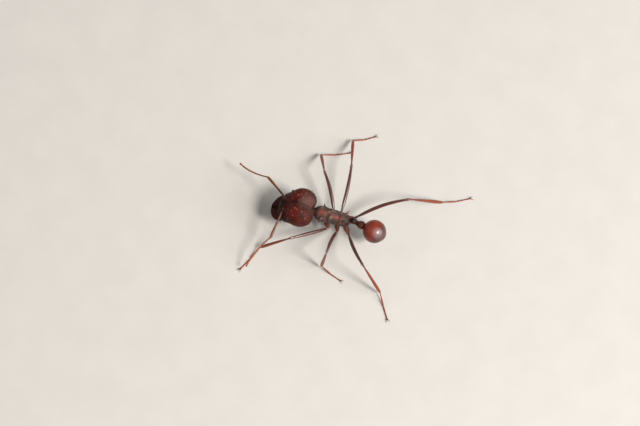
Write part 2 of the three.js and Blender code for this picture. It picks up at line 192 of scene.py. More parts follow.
@dataclass(frozen=True)
class Groove:
    """A groove pressed into a shape along the zero of `line`, as deep as `where` says, from 0 to 1.

    Its width is measured to each side, and both functions take the coordinates x, y and z.
    """

    line: Field
    width: float
    depth: float
    where: Field = lambda x, y, z: 1.0


def ring(place: float, width: float = 0.04, depth: float = 0.04) -> Groove:
    """A groove all round a shape at x = place."""
    return Groove(lambda x, y, z: x - place, width, depth)


def around(shape: Shape) -> Field:
    """A shape as a function of coordinates, for a groove that follows its surface."""
    return lambda x, y, z: shape(np.stack([x, y, z], -1))


def scored(shape: Shape, *grooves: Groove) -> Shape:
    """The shape with grooves pressed in."""

    def value(points: Array) -> Array:
        """The value at each point."""
        x, y, z = np.moveaxis(points, -1, 0)
        total = shape(points)
        for groove in grooves:
            press = np.exp(-((groove.line(x, y, z) / groove.width) ** 2))
            total = total + groove.depth * (press * np.clip(groove.where(x, y, z), 0, 1))
        return total

    return value


def ramp(values: Array, start: float, end: float) -> Array:
    """A smooth rise from 0 at `start` to 1 at `end`."""
    t = np.clip((values - start) / (end - start), 0, 1)
    return t * t * (3 - 2 * t)


def spot(points: Array, centre: Sequence[float], sizes: Sequence[float]) -> Array:
    """A soft blob that is 1 at its centre and fades over the given sizes."""
    scaled = (points - np.array(centre)) / np.array(sizes)
    return np.exp(-(scaled * scaled).sum(-1))


def turned(degrees: float) -> Array:
    """The matrix of a turn about Z."""
    turn = math.radians(degrees)
    return np.array([[math.cos(turn), -math.sin(turn), 0], [math.sin(turn), math.cos(turn), 0], [0, 0, 1]])


# --- Surfaces ---


@dataclass
class Surface:
    """A mesh in millimetres, with a number for each point under each tone's name."""

    points: Array
    quads: Array = field(default_factory=lambda: np.empty((0, 4), int))
    triangles: Array = field(default_factory=lambda: np.empty((0, 3), int))
    tones: dict[str, Array] = field(default_factory=dict)

    def toned(self, **tones: Array | float) -> "Surface":
        """The same surface with more tones."""
        even = {name: np.broadcast_to(value, len(self.points)) for name, value in tones.items()}
        return Surface(self.points, self.quads, self.triangles, {**self.tones, **even})

    def placed(self, turn: Array, shift: Array) -> "Surface":
        """The same surface, turned and then shifted."""
        return Surface(self.points @ turn.T + shift, self.quads, self.triangles, self.tones)

    @staticmethod
    def joined(parts: Sequence["Surface"]) -> "Surface":
        """Several surfaces as one, with the tones that the first one has."""
        starts = np.cumsum([0] + [len(part.points) for part in parts])
        return Surface(
            np.concatenate([part.points for part in parts]),
            np.concatenate([part.quads + start for part, start in zip(parts, starts)]),
            np.concatenate([part.triangles + start for part, start in zip(parts, starts)]),
            {name: np.concatenate([part.tones[name] for part in parts]) for name in parts[0].tones},
        )


def uphill(shape: Shape, points: Array, reach: float = 0.004) -> Array:
    """The direction and rate of the shape's rise at each point."""
    steps = np.eye(3) * reach
    return np.stack([(shape(points + s) - shape(points - s)) / (2 * reach) for s in steps], -1)


def settle(shape: Shape, points: Array, furthest: float, rounds: int = 2) -> Array:
    """Move points onto a shape's surface.

    Args:
        shape: the shape.
        points: points near its surface.
        furthest: how far a point may move in each round.
        rounds: the number of rounds.

    Returns:
        The points on the surface.
    """
    for _ in range(rounds):
        slope = uphill(shape, points)
        step = shape(points)[:, None] * slope / np.maximum((slope * slope).sum(-1), LEAST_SLOPE)[:, None]
        size = np.linalg.norm(step, axis=-1, keepdims=True)
        points = points - step * np.minimum(1, furthest / np.maximum(size, 1e-9))
    return points


def even_out(shape: Shape, points: Array, quads: Array, furthest: float, rounds: int) -> Array:
    """Spread points evenly over a shape's surface: each moves towards the middle of its neighbours.

    Args:
        shape: the shape.
        points: points on its surface.
        quads: the faces between them.
        furthest: how far a point may move back onto the surface in each round.
        rounds: the number of rounds.

    Returns:
        The points in their new places.
    """
    edges = np.concatenate([quads[:, [i, (i + 1) % 4]] for i in range(4)])
    count = np.bincount(edges[:, 0], minlength=len(points))
    for _ in range(rounds):
        middles = [
            np.bincount(edges[:, 0], points[edges[:, 1], axis], len(points)) / count for axis in range(3)
        ]
        points = settle(shape, (points + np.stack(middles, -1)) / 2, furthest, 1)
    return points


def wrap(shape: Shape, low: Sequence[float], high: Sequence[float], step: float, slabs: int = 12,
         rounds: int = 4) -> Surface:
    """An even mesh of quads over a shape's surface.

    Args:
        shape: the shape, which lies within the box.
        low: the box's lowest corner.
        high: its highest corner.
        step: about the length of a quad's side.
        slabs: the number of parts of the box that are worked out one by one, to save memory.
        rounds: how often the points are spread evenly.

    Returns:
        The closed surface.
    """
    start = np.array(low, float)
    counts = np.ceil((np.array(high) - start) / step).astype(int) + 1
    axes = [start[i] + step * np.arange(counts[i]) for i in range(3)]
    grid = np.stack(np.meshgrid(*axes, indexing="ij"), -1)
    values = np.concatenate([shape(slab) for slab in np.array_split(grid, slabs)])
    inside = values < 0

    last = counts - 1
    corners = [
        inside[tuple(slice(a, end + a) for a, end in zip(at, last))] for at in product((0, 1), repeat=3)
    ]
    filled = sum(part.astype(np.int8) for part in corners)
    crossed = (filled > 0) & (filled < 8)
    cells = np.argwhere(crossed)
    number = np.full(crossed.shape, -1)
    number[crossed] = np.arange(len(cells))

    total, hits = np.zeros((len(cells), 3)), np.zeros(len(cells))
    quads = []
    for axis in range(3):
        side, lift = (axis + 1) % 3, (axis + 2) % 3
        for a, b in product((0, 1), repeat=2):
            near = np.zeros(3, int)
            near[side], near[lift] = a, b
            far = near.copy()
            far[axis] = 1
            v0 = values[tuple((cells + near).T)]
            v1 = values[tuple((cells + far).T)]
            cuts = (v0 < 0) != (v1 < 0)
            t = np.where(cuts, v0 / np.where(cuts, v0 - v1, 1), 0)
            spot_on = near + t[:, None] * (far - near)
            total += spot_on * cuts[:, None]
            hits += cuts
        first = np.take(inside, range(last[axis]), axis)
        second = np.take(inside, range(1, last[axis] + 1), axis)
        for leaving in (True, False):
            edge = np.argwhere(first & ~second if leaving else ~first & second)
            edge = edge[(edge[:, side] > 0) & (edge[:, lift] > 0)]
            edge = edge[(edge[:, side] < last[side]) & (edge[:, lift] < last[lift])]
            ring = []
            for a, b in ((-1, -1), (0, -1), (0, 0), (-1, 0)):
                cell = edge.copy()
                cell[:, side] += a
                cell[:, lift] += b
                ring.append(number[tuple(cell.T)])
            quads.append(np.stack(ring if leaving else ring[::-1], -1))
    faces = np.concatenate(quads)
    points = start + step * (cells + total / hits[:, None])
    points = settle(shape, points, step / 2)
    return Surface(even_out(shape, points, faces, step / 2, rounds), faces)


def sweep(line: Array, across: Array, lift: Array | None = None, sides: int = 20) -> Surface:
    """A tube with domed ends along a line, which never runs straight up.

    Args:
        line: the line's points.
        across: the half width of the tube at each point.
        lift: its half height there; the tube is round where this is left out.
        sides: the number of faces round it.

    Returns:
        The closed surface, with the tone `along` that goes from 0 to 1 over its length.
    """
    lift = across if lift is None else lift
    ahead = np.gradient(line, axis=0)
    ahead /= np.linalg.norm(ahead, axis=-1, keepdims=True)
    dome = np.array(DOME_WIDTHS)
    depth = np.sqrt(1 - dome**2)
    start = line[0] - ahead[0] * (across[0] * depth)[:, None] * DOME_LENGTH
    end = line[-1] + ahead[-1] * (across[-1] * depth[::-1])[:, None] * DOME_LENGTH

    centres = np.concatenate([start, line, end])
    way = np.concatenate([np.repeat(ahead[:1], 3, 0), ahead, np.repeat(ahead[-1:], 3, 0)])
    wide, high = (np.concatenate([half[0] * dome, half, half[-1] * dome[::-1]]) for half in (across, lift))
    along = np.concatenate([np.zeros(3), np.linspace(0, 1, len(line)), np.ones(3)])

    out = np.cross(way, (0.0, 0.0, 1.0))
    out /= np.linalg.norm(out, axis=-1, keepdims=True)
    over = np.cross(out, way)
    angle = np.arange(sides) / sides * 2 * np.pi
    rings = (
        centres[:, None]
        + out[:, None] * (wide[:, None] * np.cos(angle))[..., None]
        + over[:, None] * (high[:, None] * np.sin(angle))[..., None]
    )
    poles = [line[0] - ahead[0] * across[0] * DOME_LENGTH, line[-1] + ahead[-1] * across[-1] * DOME_LENGTH]
    return close_rings(rings, *poles).toned(along=np.concatenate([np.repeat(along, sides), [0, 1]]))


def close_rings(rings: Array, start_pole: Sequence[float],
                end_pole: Sequence[float] | None = None) -> Surface:
    """A surface through rings of points.

    Args:
        rings: the points, by ring and by place in the ring.
        start_pole: the point that a fan of triangles joins to the first ring.
        end_pole: the point that another joins to the last ring, which stays open without it.

    Returns:
        The surface.
    """
    count, sides = rings.shape[:2]
    i, j = np.meshgrid(np.arange(count - 1), np.arange(sides), indexing="ij")
    a, b = i * sides + j, i * sides + (j + 1) % sides
    quads = np.stack([a, a + sides, b + sides, b], -1).reshape(-1, 4)
    side, following = np.arange(sides), (np.arange(sides) + 1) % sides
    fans, poles = [np.stack([np.full(sides, count * sides), side, following], -1)], [start_pole]
    if end_pole is not None:
        top = (count - 1) * sides
        fans.append(np.stack([np.full(sides, count * sides + 1), top + following, top + side], -1))
        poles.append(end_pole)
    return Surface(np.concatenate([rings.reshape(-1, 3), poles]), quads, np.concatenate(fans))


def profile(stations: Stations, along: Array) -> Array:
    """A smooth curve of sizes through (place, size) stations, read at each place in `along`."""
    places, sizes = np.array(stations, float).T
    slopes = np.gradient(sizes, places)
    i = np.clip(np.searchsorted(places, along, side="right") - 1, 0, len(places) - 2)
    span = places[i + 1] - places[i]
    t = (along - places[i]) / span
    return (
        (2 * t**3 - 3 * t**2 + 1) * sizes[i] + (t**3 - 2 * t**2 + t) * span * slopes[i]
        + (3 * t**2 - 2 * t**3) * sizes[i + 1] + (t**3 - t**2) * span * slopes[i + 1]
    )


def heading(side: Side, out: float, drop: float) -> Array:
    """A unit step, `out` degrees from straight ahead to the given side and `drop` degrees down."""
    turn, fall = math.radians(out), math.radians(drop)
    level = math.cos(fall)
    return np.array([-math.cos(turn) * level, side.value * math.sin(turn) * level, -math.sin(fall)])


# --- Blender's meshes and node trees ---


def read(items: bpy.types.bpy_prop_collection, name: str, width: int = 1, kind: type = np.float32) -> Array:
    """One property of each item of a Blender list, as rows of `width` numbers."""
    values = np.empty(len(items) * width, kind)
    items.foreach_get(name, values)
    return values.reshape(-1, width) if width > 1 else values


def write_tone(mesh: bpy.types.Mesh, name: str, values: Array) -> None:
    """Store a number, or a row of three, for each point of a mesh."""
    values = np.asarray(values, np.float32)
    kind, key = ("FLOAT", "value") if values.ndim == 1 else ("FLOAT_VECTOR", "vector")
    mesh.attributes.new(name, kind, "POINT").data.foreach_set(key, values.ravel())


def in_scene(name: str, data: bpy.types.ID) -> bpy.types.Object:
    """A new object in the scene."""
    made = bpy.data.objects.new(name, data)
    bpy.context.scene.collection.objects.link(made)
    return made


@dataclass
class Nodes:
    """Short calls to add nodes to a tree and join them."""

    tree: bpy.types.NodeTree

    def fill(self, node: bpy.types.Node, values: dict[str | int, Any]) -> None:
        """Set sockets of a node.

        Args:
            node: the node.
            values: for each socket a number, a vector, or another node's output.
        """
        for name, value in values.items():
            if isinstance(value, bpy.types.NodeSocket):
                self.tree.links.new(value, node.inputs[name])
            else:
                node.inputs[name].default_value = value

    def add(self, kind: str, values: dict[str | int, Any] | None = None, **settings: Any) -> bpy.types.Node:
        """Add a node.

        Args:
            kind: the node's type.
            values: what goes into each socket.
            settings: the node's own settings.

        Returns:
            The node.
        """
        node = self.tree.nodes.new(kind)
        for name, setting in settings.items():
            setattr(node, name, setting)
        self.fill(node, values or {})
        return node

    def maths(self, operation: str, a: Any, b: Any = 0.0) -> bpy.types.NodeSocket:
        """The result of a sum of two numbers."""
        return self.add("ShaderNodeMath", {0: a, 1: b}, operation=operation).outputs[0]

    def vector(self, operation: str, a: Any, b: Any) -> bpy.types.NodeSocket:
        """The result of a sum of two vectors, or of a vector and a number for SCALE."""
        second = "Scale" if operation == "SCALE" else 1
        return self.add("ShaderNodeVectorMath", {0: a, second: b}, operation=operation).outputs[0]

    def combined(self, x: Any, y: Any = 0.0, z: Any = 0.0) -> bpy.types.NodeSocket:
        """A vector made from its three numbers."""
        return self.add("ShaderNodeCombineXYZ", {0: x, 1: y, 2: z}).outputs[0]

    def mixed(self, share: Any, a: Any, b: Any) -> bpy.types.NodeSocket:
        """A colour between two others."""
        return self.add("ShaderNodeMix", {0: share, 6: a, 7: b}, data_type="RGBA").outputs[2]

    def spread(self, value: Any, low: float, high: float, to_low: float = 0.0,
               to_high: float = 1.0) -> bpy.types.NodeSocket:
        """A number moved from one range to another."""
        return self.add("ShaderNodeMapRange", {0: value, 1: low, 2: high, 3: to_low, 4: to_high}).outputs[0]

    def noise(self, place: Any, scale: float, detail: float) -> bpy.types.NodeSocket:
        """A cloudy pattern, between 0 and 1."""
        values = {"Vector": place, "Scale": scale, "Detail": detail}
        return self.add("ShaderNodeTexNoise", values).outputs["Fac"]

    def tone(self, name: str) -> bpy.types.NodeSocket:
        """One of the mesh's tones, in a material."""
        return self.add("ShaderNodeAttribute", attribute_name=name).outputs["Fac"]

    def stored(self, name: str, kind: str = "FLOAT") -> bpy.types.NodeSocket:
        """What is stored for each point of the mesh under a name, in a geometry tree."""
        return self.add("GeometryNodeInputNamedAttribute", {"Name": name}, data_type=kind).outputs[0]

    def bump(self, height: Any, size: float, below: Any = None) -> bpy.types.NodeSocket:
        """A bump of the given size in millimetres, over the one below it."""
        values = {"Strength": 1.0, "Distance": size / MM_PER_METRE, "Height": height}
        if below is not None:
            values["Normal"] = below
        return self.add("ShaderNodeBump", values).outputs[0]


def linear(colour: str) -> tuple[float, float, float, float]:
    """A colour such as 4a2019 as the numbers that a shader takes."""
    parts = [int(colour[i:i + 2], 16) / 255 for i in (0, 2, 4)]
    return (*[p / 12.92 if p <= 0.04045 else ((p + 0.055) / 1.055) ** 2.4 for p in parts], 1.0)


# --- Finishes ---


@dataclass(frozen=True)
class Finish:
    """What all finishes have: a name, the record's material slot, and a dark and a light colour."""

    name: str
    slot: str
    dark: str
    light: str

    def start(self, scale: float) -> tuple[bpy.types.Material, Nodes, bpy.types.Node, bpy.types.NodeSocket]:
        """A new material, its nodes, its shader and the place on the piece, made `scale` times as large."""
        material = bpy.data.materials.new(self.name)
        material.use_nodes = True
        kit = Nodes(material.node_tree)
        place = kit.add("ShaderNodeTexCoord").outputs["Object"]
        place = kit.add("ShaderNodeMapping", {"Vector": place, "Scale": (scale,) * 3}).outputs[0]
        return material, kit, material.node_tree.nodes["Principled BSDF"], place


@dataclass(frozen=True)
class Cuticle(Finish):
    """Horny shell: dark where it is thick, redder where it is thin, finely pitted and waxy.

    Sizes of patterns are in millimetres. The mesh's tone `glow` says how red the
    shell is, and on the head and gaster also carries painted light and shade. `seam`
    says where the shell is dark at joints and teeth, and paints shade into creases, grooves and rims.
    `bloom` says where a pale coat of fine hairs lies on it, and also paints sheen
    on the head's rear and the gaster and pale glinting specks on the thorax. `polish`
    says where it is rubbed smooth, and paints pale glints there in the colour `worn_and_glint_colour`,
    as far as `wear_and_glint_share` says.
    """

    roughness: float = 0.34
    specular: float = 0.4
    coat: float = 0.25
    coat_roughness: float = 0.18
    bloom: str = "75645d"
    worn_and_glint_colour: str = "b8a096"
    wear_and_glint_share: float = 0.0
    # The colour of dark joints, also used to paint shade into creases.
    crease: str = "0d0706"
    sheen: float = 0.12
    sheen_colour: str = "b8a08c"
    sheen_roughness: float = 0.4
    roughness_swing: float = 0.07
    polished: float = 0.45
    crease_share: float = 0.75
    refraction: float = 1.55
    mottle: float = 0.5
    cloud_scale: float = 1.3
    speck_scale: float = 14.0
    pit_size: float = 0.045
    pit_depth: float = 0.004
    grain_scale: float = 45.0
    grain_depth: float = 0.0016
    striae_scale: float = 4.5
    striae: float = 0.0

    def material(self) -> bpy.types.Material:
        """The finish as a material."""
        material, kit, shader, place = self.start(MM_PER_METRE)
        broad, fine = kit.noise(place, self.cloud_scale, 4.0), kit.noise(place, self.speck_scale, 3.0)
        blotch = kit.spread(broad, 0.3, 0.7, -self.mottle / 2, self.mottle / 2)
        speckle = kit.spread(fine, 0.35, 0.65, -self.mottle / 5, self.mottle / 5)
        # Redness, which on the head and gaster also carries painted light and shade.
        share = kit.maths("ADD", kit.tone("glow"), kit.maths("ADD", blotch, speckle))
        colour = kit.mixed(kit.spread(share, 0.0, 1.0), linear(self.dark), linear(self.light))
        # Pale hairs, also painting sheen on the head's rear and the gaster, and glinting specks.
        pale_and_sheen_share = kit.maths("MULTIPLY", kit.tone("bloom"), kit.spread(fine, 0.35, 0.65, 0.45, 1.0))
        colour = kit.mixed(pale_and_sheen_share, colour, linear(self.bloom))
        polish = kit.tone("polish")
        # Painted glints: smoothed tips and knees are paled towards a light colour.
        colour = kit.mixed(kit.maths("MULTIPLY", polish, self.wear_and_glint_share), colour, linear(self.worn_and_glint_colour))
        # Painted shade: creases, grooves and rims are darkened, as are dark joints and teeth.
        creased = kit.maths("MULTIPLY", kit.tone("seam"), self.crease_share)
        colour = kit.mixed(creased, colour, linear(self.crease))
        swing = self.roughness_swing
        rough = kit.spread(fine, 0.3, 0.7, self.roughness - swing, self.roughness + swing)
        rough = kit.maths("MULTIPLY", rough, kit.spread(polish, 0.0, 1.0, 1.0, self.polished))

        cells = kit.add("ShaderNodeTexVoronoi", {"Vector": place, "Scale": 1 / self.pit_size})
        normal = kit.bump(kit.spread(cells.outputs["Distance"], 0.05, 0.55), self.pit_depth)
        normal = kit.bump(kit.noise(place, self.grain_scale, 4.0), self.grain_depth, normal)
        if self.striae:
            waves = kit.add("ShaderNodeTexWave", {
                "Vector": place, "Scale": self.striae_scale, "Distortion": 1.6, "Detail": 2.0,
            }, bands_direction="Y")
            normal = kit.bump(waves.outputs["Fac"], self.striae, normal)
        kit.fill(shader, {
            "Base Color": colour, "Roughness": rough, "Specular IOR Level": self.specular,
            "IOR": self.refraction, "Coat Weight": self.coat, "Coat Roughness": self.coat_roughness,
            "Sheen Weight": self.sheen, "Sheen Roughness": self.sheen_roughness,
            "Sheen Tint": linear(self.sheen_colour), "Normal": normal,
        })
        return material


@dataclass(frozen=True)
class Gloss(Finish):
    """A plain smooth finish with a little mottling, for eyes, claws, hairs and the floor.

    Its `grain` is the size of the mottling in millimetres.
    """

    roughness: float
    coat: float = 0.0
    grain: float = 0.2
    bump: float = 0.0

    def material(self) -> bpy.types.Material:
        """The finish as a material."""
        material, kit, shader, place = self.start(MM_PER_METRE / self.grain)
        noise = kit.noise(place, 1.0, 4.0)
        colour = kit.mixed(kit.spread(noise, 0.35, 0.65), linear(self.dark), linear(self.light))
        kit.fill(shader, {"Base Color": colour, "Roughness": self.roughness, "Coat Weight": self.coat})
        if self.bump:
            kit.fill(shader, {"Normal": kit.bump(noise, self.bump)})
        return material


# Below, the pale hair colours also paint sheen, and the pale tip colours paint glints on tips and knees.
HEAD_SHELL = Cuticle("head shell", "head_cuticle", "200805", "6c2016", roughness=0.52, specular=0.12,
                     coat=0.0, sheen=0.02, mottle=0.55, sheen_colour="9c8680", bloom="6a5750",
                     worn_and_glint_colour="b09488", wear_and_glint_share=0.5, pit_size=0.1, pit_depth=0.022, grain_depth=0.003)
JAW_SHELL = Cuticle("mandible shell", "mandible_cuticle", "2c0b06", "742212", roughness=0.45, specular=0.14,
                    coat=0.0, sheen=0.0, mottle=0.4, wear_and_glint_share=0.5, pit_size=0.12, striae=0.012)
THORAX_SHELL = Cuticle("thorax shell", "thorax_cuticle", "170c09", "86392c", roughness=0.5, specular=0.28,
                       coat=0.0, sheen=0.03, mottle=0.65, sheen_colour="a89a94", bloom="a8948a", wear_and_glint_share=0.5,
                       pit_size=0.09, pit_depth=0.02, grain_depth=0.003)
WAIST_SHELL = Cuticle("waist shell", "waist_cuticle", "0c0605", "5a2a20", roughness=0.45, specular=0.22,
                      coat=0.05, sheen=0.0, mottle=0.45, pit_size=0.06, pit_depth=0.008)
GASTER_SHELL = Cuticle("gaster shell", "gaster_cuticle", "2c0a05", "84301c", roughness=0.5, specular=0.22,
                       coat=0.65, coat_roughness=0.22, bloom="92868a", sheen=0.0, mottle=0.25,
                       pit_size=0.08, pit_depth=0.001, grain_depth=0.0006)
LEG_SHELL = Cuticle("leg shell", "leg_cuticle", "2a0806", "641c14", roughness=0.38, specular=0.5,
                    coat=0.8, coat_roughness=0.22, sheen=0.05, mottle=0.3, sheen_colour="b89ca8",
                    wear_and_glint_share=0.2, pit_size=0.06)
FOOT_SHELL = Cuticle("foot shell", "foot_cuticle", "541a0d", "98401d", roughness=0.42, specular=0.4,
                     coat=0.2, sheen=0.03, mottle=0.3, sheen_colour="c09880", pit_size=0.05)
FEELER_SHELL = Cuticle("feeler shell", "feeler_cuticle", "3a120d", "b06636", roughness=0.42, specular=0.3,
                       coat=0.1, coat_roughness=0.3, sheen=0.05, mottle=0.3, sheen_colour="c0a098",
                       pit_size=0.05)
EYE_LENS = Gloss("eye lens", "eye", "050405", "160e10", 0.28, coat=0.15, grain=0.1)
CLAW_HORN = Gloss("claw horn", "foot_cuticle", "1a0a07", "5a2614", 0.25, coat=0.4, grain=0.15)
PALE_HAIR = Gloss("pale hair", "", "94765a", "cdb08c", 0.45, grain=0.3)
RED_HAIR = Gloss("red hair", "", "6e4630", "a87850", 0.45, grain=0.3)
FLOOR_CARD = Gloss("floor card", "", "cdcac5", "d0cdc8", 0.85, grain=4.0, bump=0.01)


# --- Pieces ---


@dataclass
class Workshop:
    """Turns surfaces into finished pieces of the ant.

    Args:
        shift: where the ant's own origin lies in the frame, in millimetres.
    """

    shift: Array
    materials: dict[str, bpy.types.Material] = field(default_factory=dict)

    def paint(self, finish: Cuticle | Gloss) -> bpy.types.Material:
        """The finish's material, made the first time that it is asked for."""
        if finish.name not in self.materials:
            self.materials[finish.name] = finish.material()
        return self.materials[finish.name]

    def mesh(self, name: str, surface: Surface) -> bpy.types.Mesh:
        """A Blender mesh of the surface, in the frame's metres."""
        mesh = bpy.data.meshes.new(name)
        points = (surface.points + self.shift) / MM_PER_METRE
        corners = np.concatenate([surface.quads.ravel(), surface.triangles.ravel()])
        sizes = np.repeat([4, 3], [len(surface.quads), len(surface.triangles)])
        mesh.vertices.add(len(points))
        mesh.vertices.foreach_set("co", points.astype(np.float32).ravel())
        mesh.loops.add(len(corners))
        mesh.loops.foreach_set("vertex_index", corners.astype(np.int32))
        mesh.polygons.add(len(sizes))
        mesh.polygons.foreach_set("loop_start", (np.cumsum(sizes) - sizes).astype(np.int32))
        mesh.polygons.foreach_set("use_smooth", np.ones(len(sizes), bool))
        mesh.update(calc_edges=True)
        for tone, values in surface.tones.items():
            write_tone(mesh, tone, values)
        return mesh

    def finish(self, name: str, mesh: bpy.types.Mesh, finish: Cuticle | Gloss,
               *nodes: str) -> bpy.types.Object:
        """Make a piece of the ant from its mesh.

        Args:
            name: the piece's name.
            mesh: its mesh, in the frame's metres.
            finish: its finish.
            nodes: the solids that it stands for.

        Returns:
            The piece.
        """
        mesh.name = name
        mesh.materials.clear()
        mesh.materials.append(self.paint(finish))
        piece = in_scene(name, mesh)
        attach(piece, BODY)
        if nodes:
            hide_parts(*nodes)
        log.info("%s: %d faces", name, len(mesh.polygons))
        return piece

    def shell(self, name: str, surface: Surface, finish: Cuticle | Gloss, *nodes: str) -> bpy.types.Object:
        """A piece of shell from a surface."""
        return self.finish(name, self.mesh(name, surface), finish, *nodes)

    @staticmethod
    def grown(mesh: bpy.types.Mesh, tree: bpy.types.NodeTree, inputs: dict[str, Any]) -> bpy.types.Mesh:
        """The plain mesh that a geometry tree makes from another mesh.

        Args:
            mesh: what the tree starts from.
            tree: the tree.
            inputs: a value for each of its named inputs.

        Returns:
            The result as a mesh of its own.
        """
        carrier = in_scene("carrier", mesh)
        modifier = carrier.modifiers.new("grow", "NODES")
        modifier.node_group = tree
        for item in tree.interface.items_tree:
            if item.in_out == "INPUT" and item.name in inputs:
                modifier[item.identifier] = inputs[item.name]
        bpy.context.view_layer.update()
        graph = bpy.context.evaluated_depsgraph_get()
        seen = carrier.evaluated_get(graph)
        result = bpy.data.meshes.new_from_object(seen, preserve_all_data_layers=True, depsgraph=graph)
        carrier.modifiers.remove(modifier)
        bpy.data.objects.remove(carrier)
        return result


def geometry_tree(name: str,
                  inputs: dict[str, tuple[str, Any]]) -> tuple[Nodes, bpy.types.bpy_prop_collection]:
    """Start a geometry tree.

    Args:
        name: the tree's name.
        inputs: the kind and usual value of each named input.

    Returns:
        The tree's nodes, and its inputs by name.
    """
    tree = bpy.data.node_groups.new(name, "GeometryNodeTree")
    tree.interface.new_socket("Geometry", in_out="INPUT", socket_type="NodeSocketGeometry")
    for label, (kind, usual) in inputs.items():
        socket = tree.interface.new_socket(label, in_out="INPUT", socket_type=f"NodeSocket{kind}")
        if usual is not None:
            socket.default_value = usual
    tree.interface.new_socket("Geometry", in_out="OUTPUT", socket_type="NodeSocketGeometry")
    kit = Nodes(tree)
    return kit, kit.add("NodeGroupInput").outputs


def end_tree(kit: Nodes, geometry: bpy.types.NodeSocket,
             material: bpy.types.NodeSocket) -> bpy.types.NodeTree:
    """Realize a geometry tree's instances, set their material and send them out.

    Args:
        kit: the tree's nodes.
        geometry: what the tree has made.
        material: the material for it.

    Returns:
        The finished tree.
    """
    real = kit.add("GeometryNodeRealizeInstances", {"Geometry": geometry}).outputs[0]
    smooth = kit.add("GeometryNodeSetShadeSmooth", {"Geometry": real}).outputs[0]
    painted = kit.add("GeometryNodeSetMaterial", {"Geometry": smooth, "Material": material}).outputs[0]
    kit.add("NodeGroupOutput", {"Geometry": painted})
    return kit.tree


# --- Hair ---


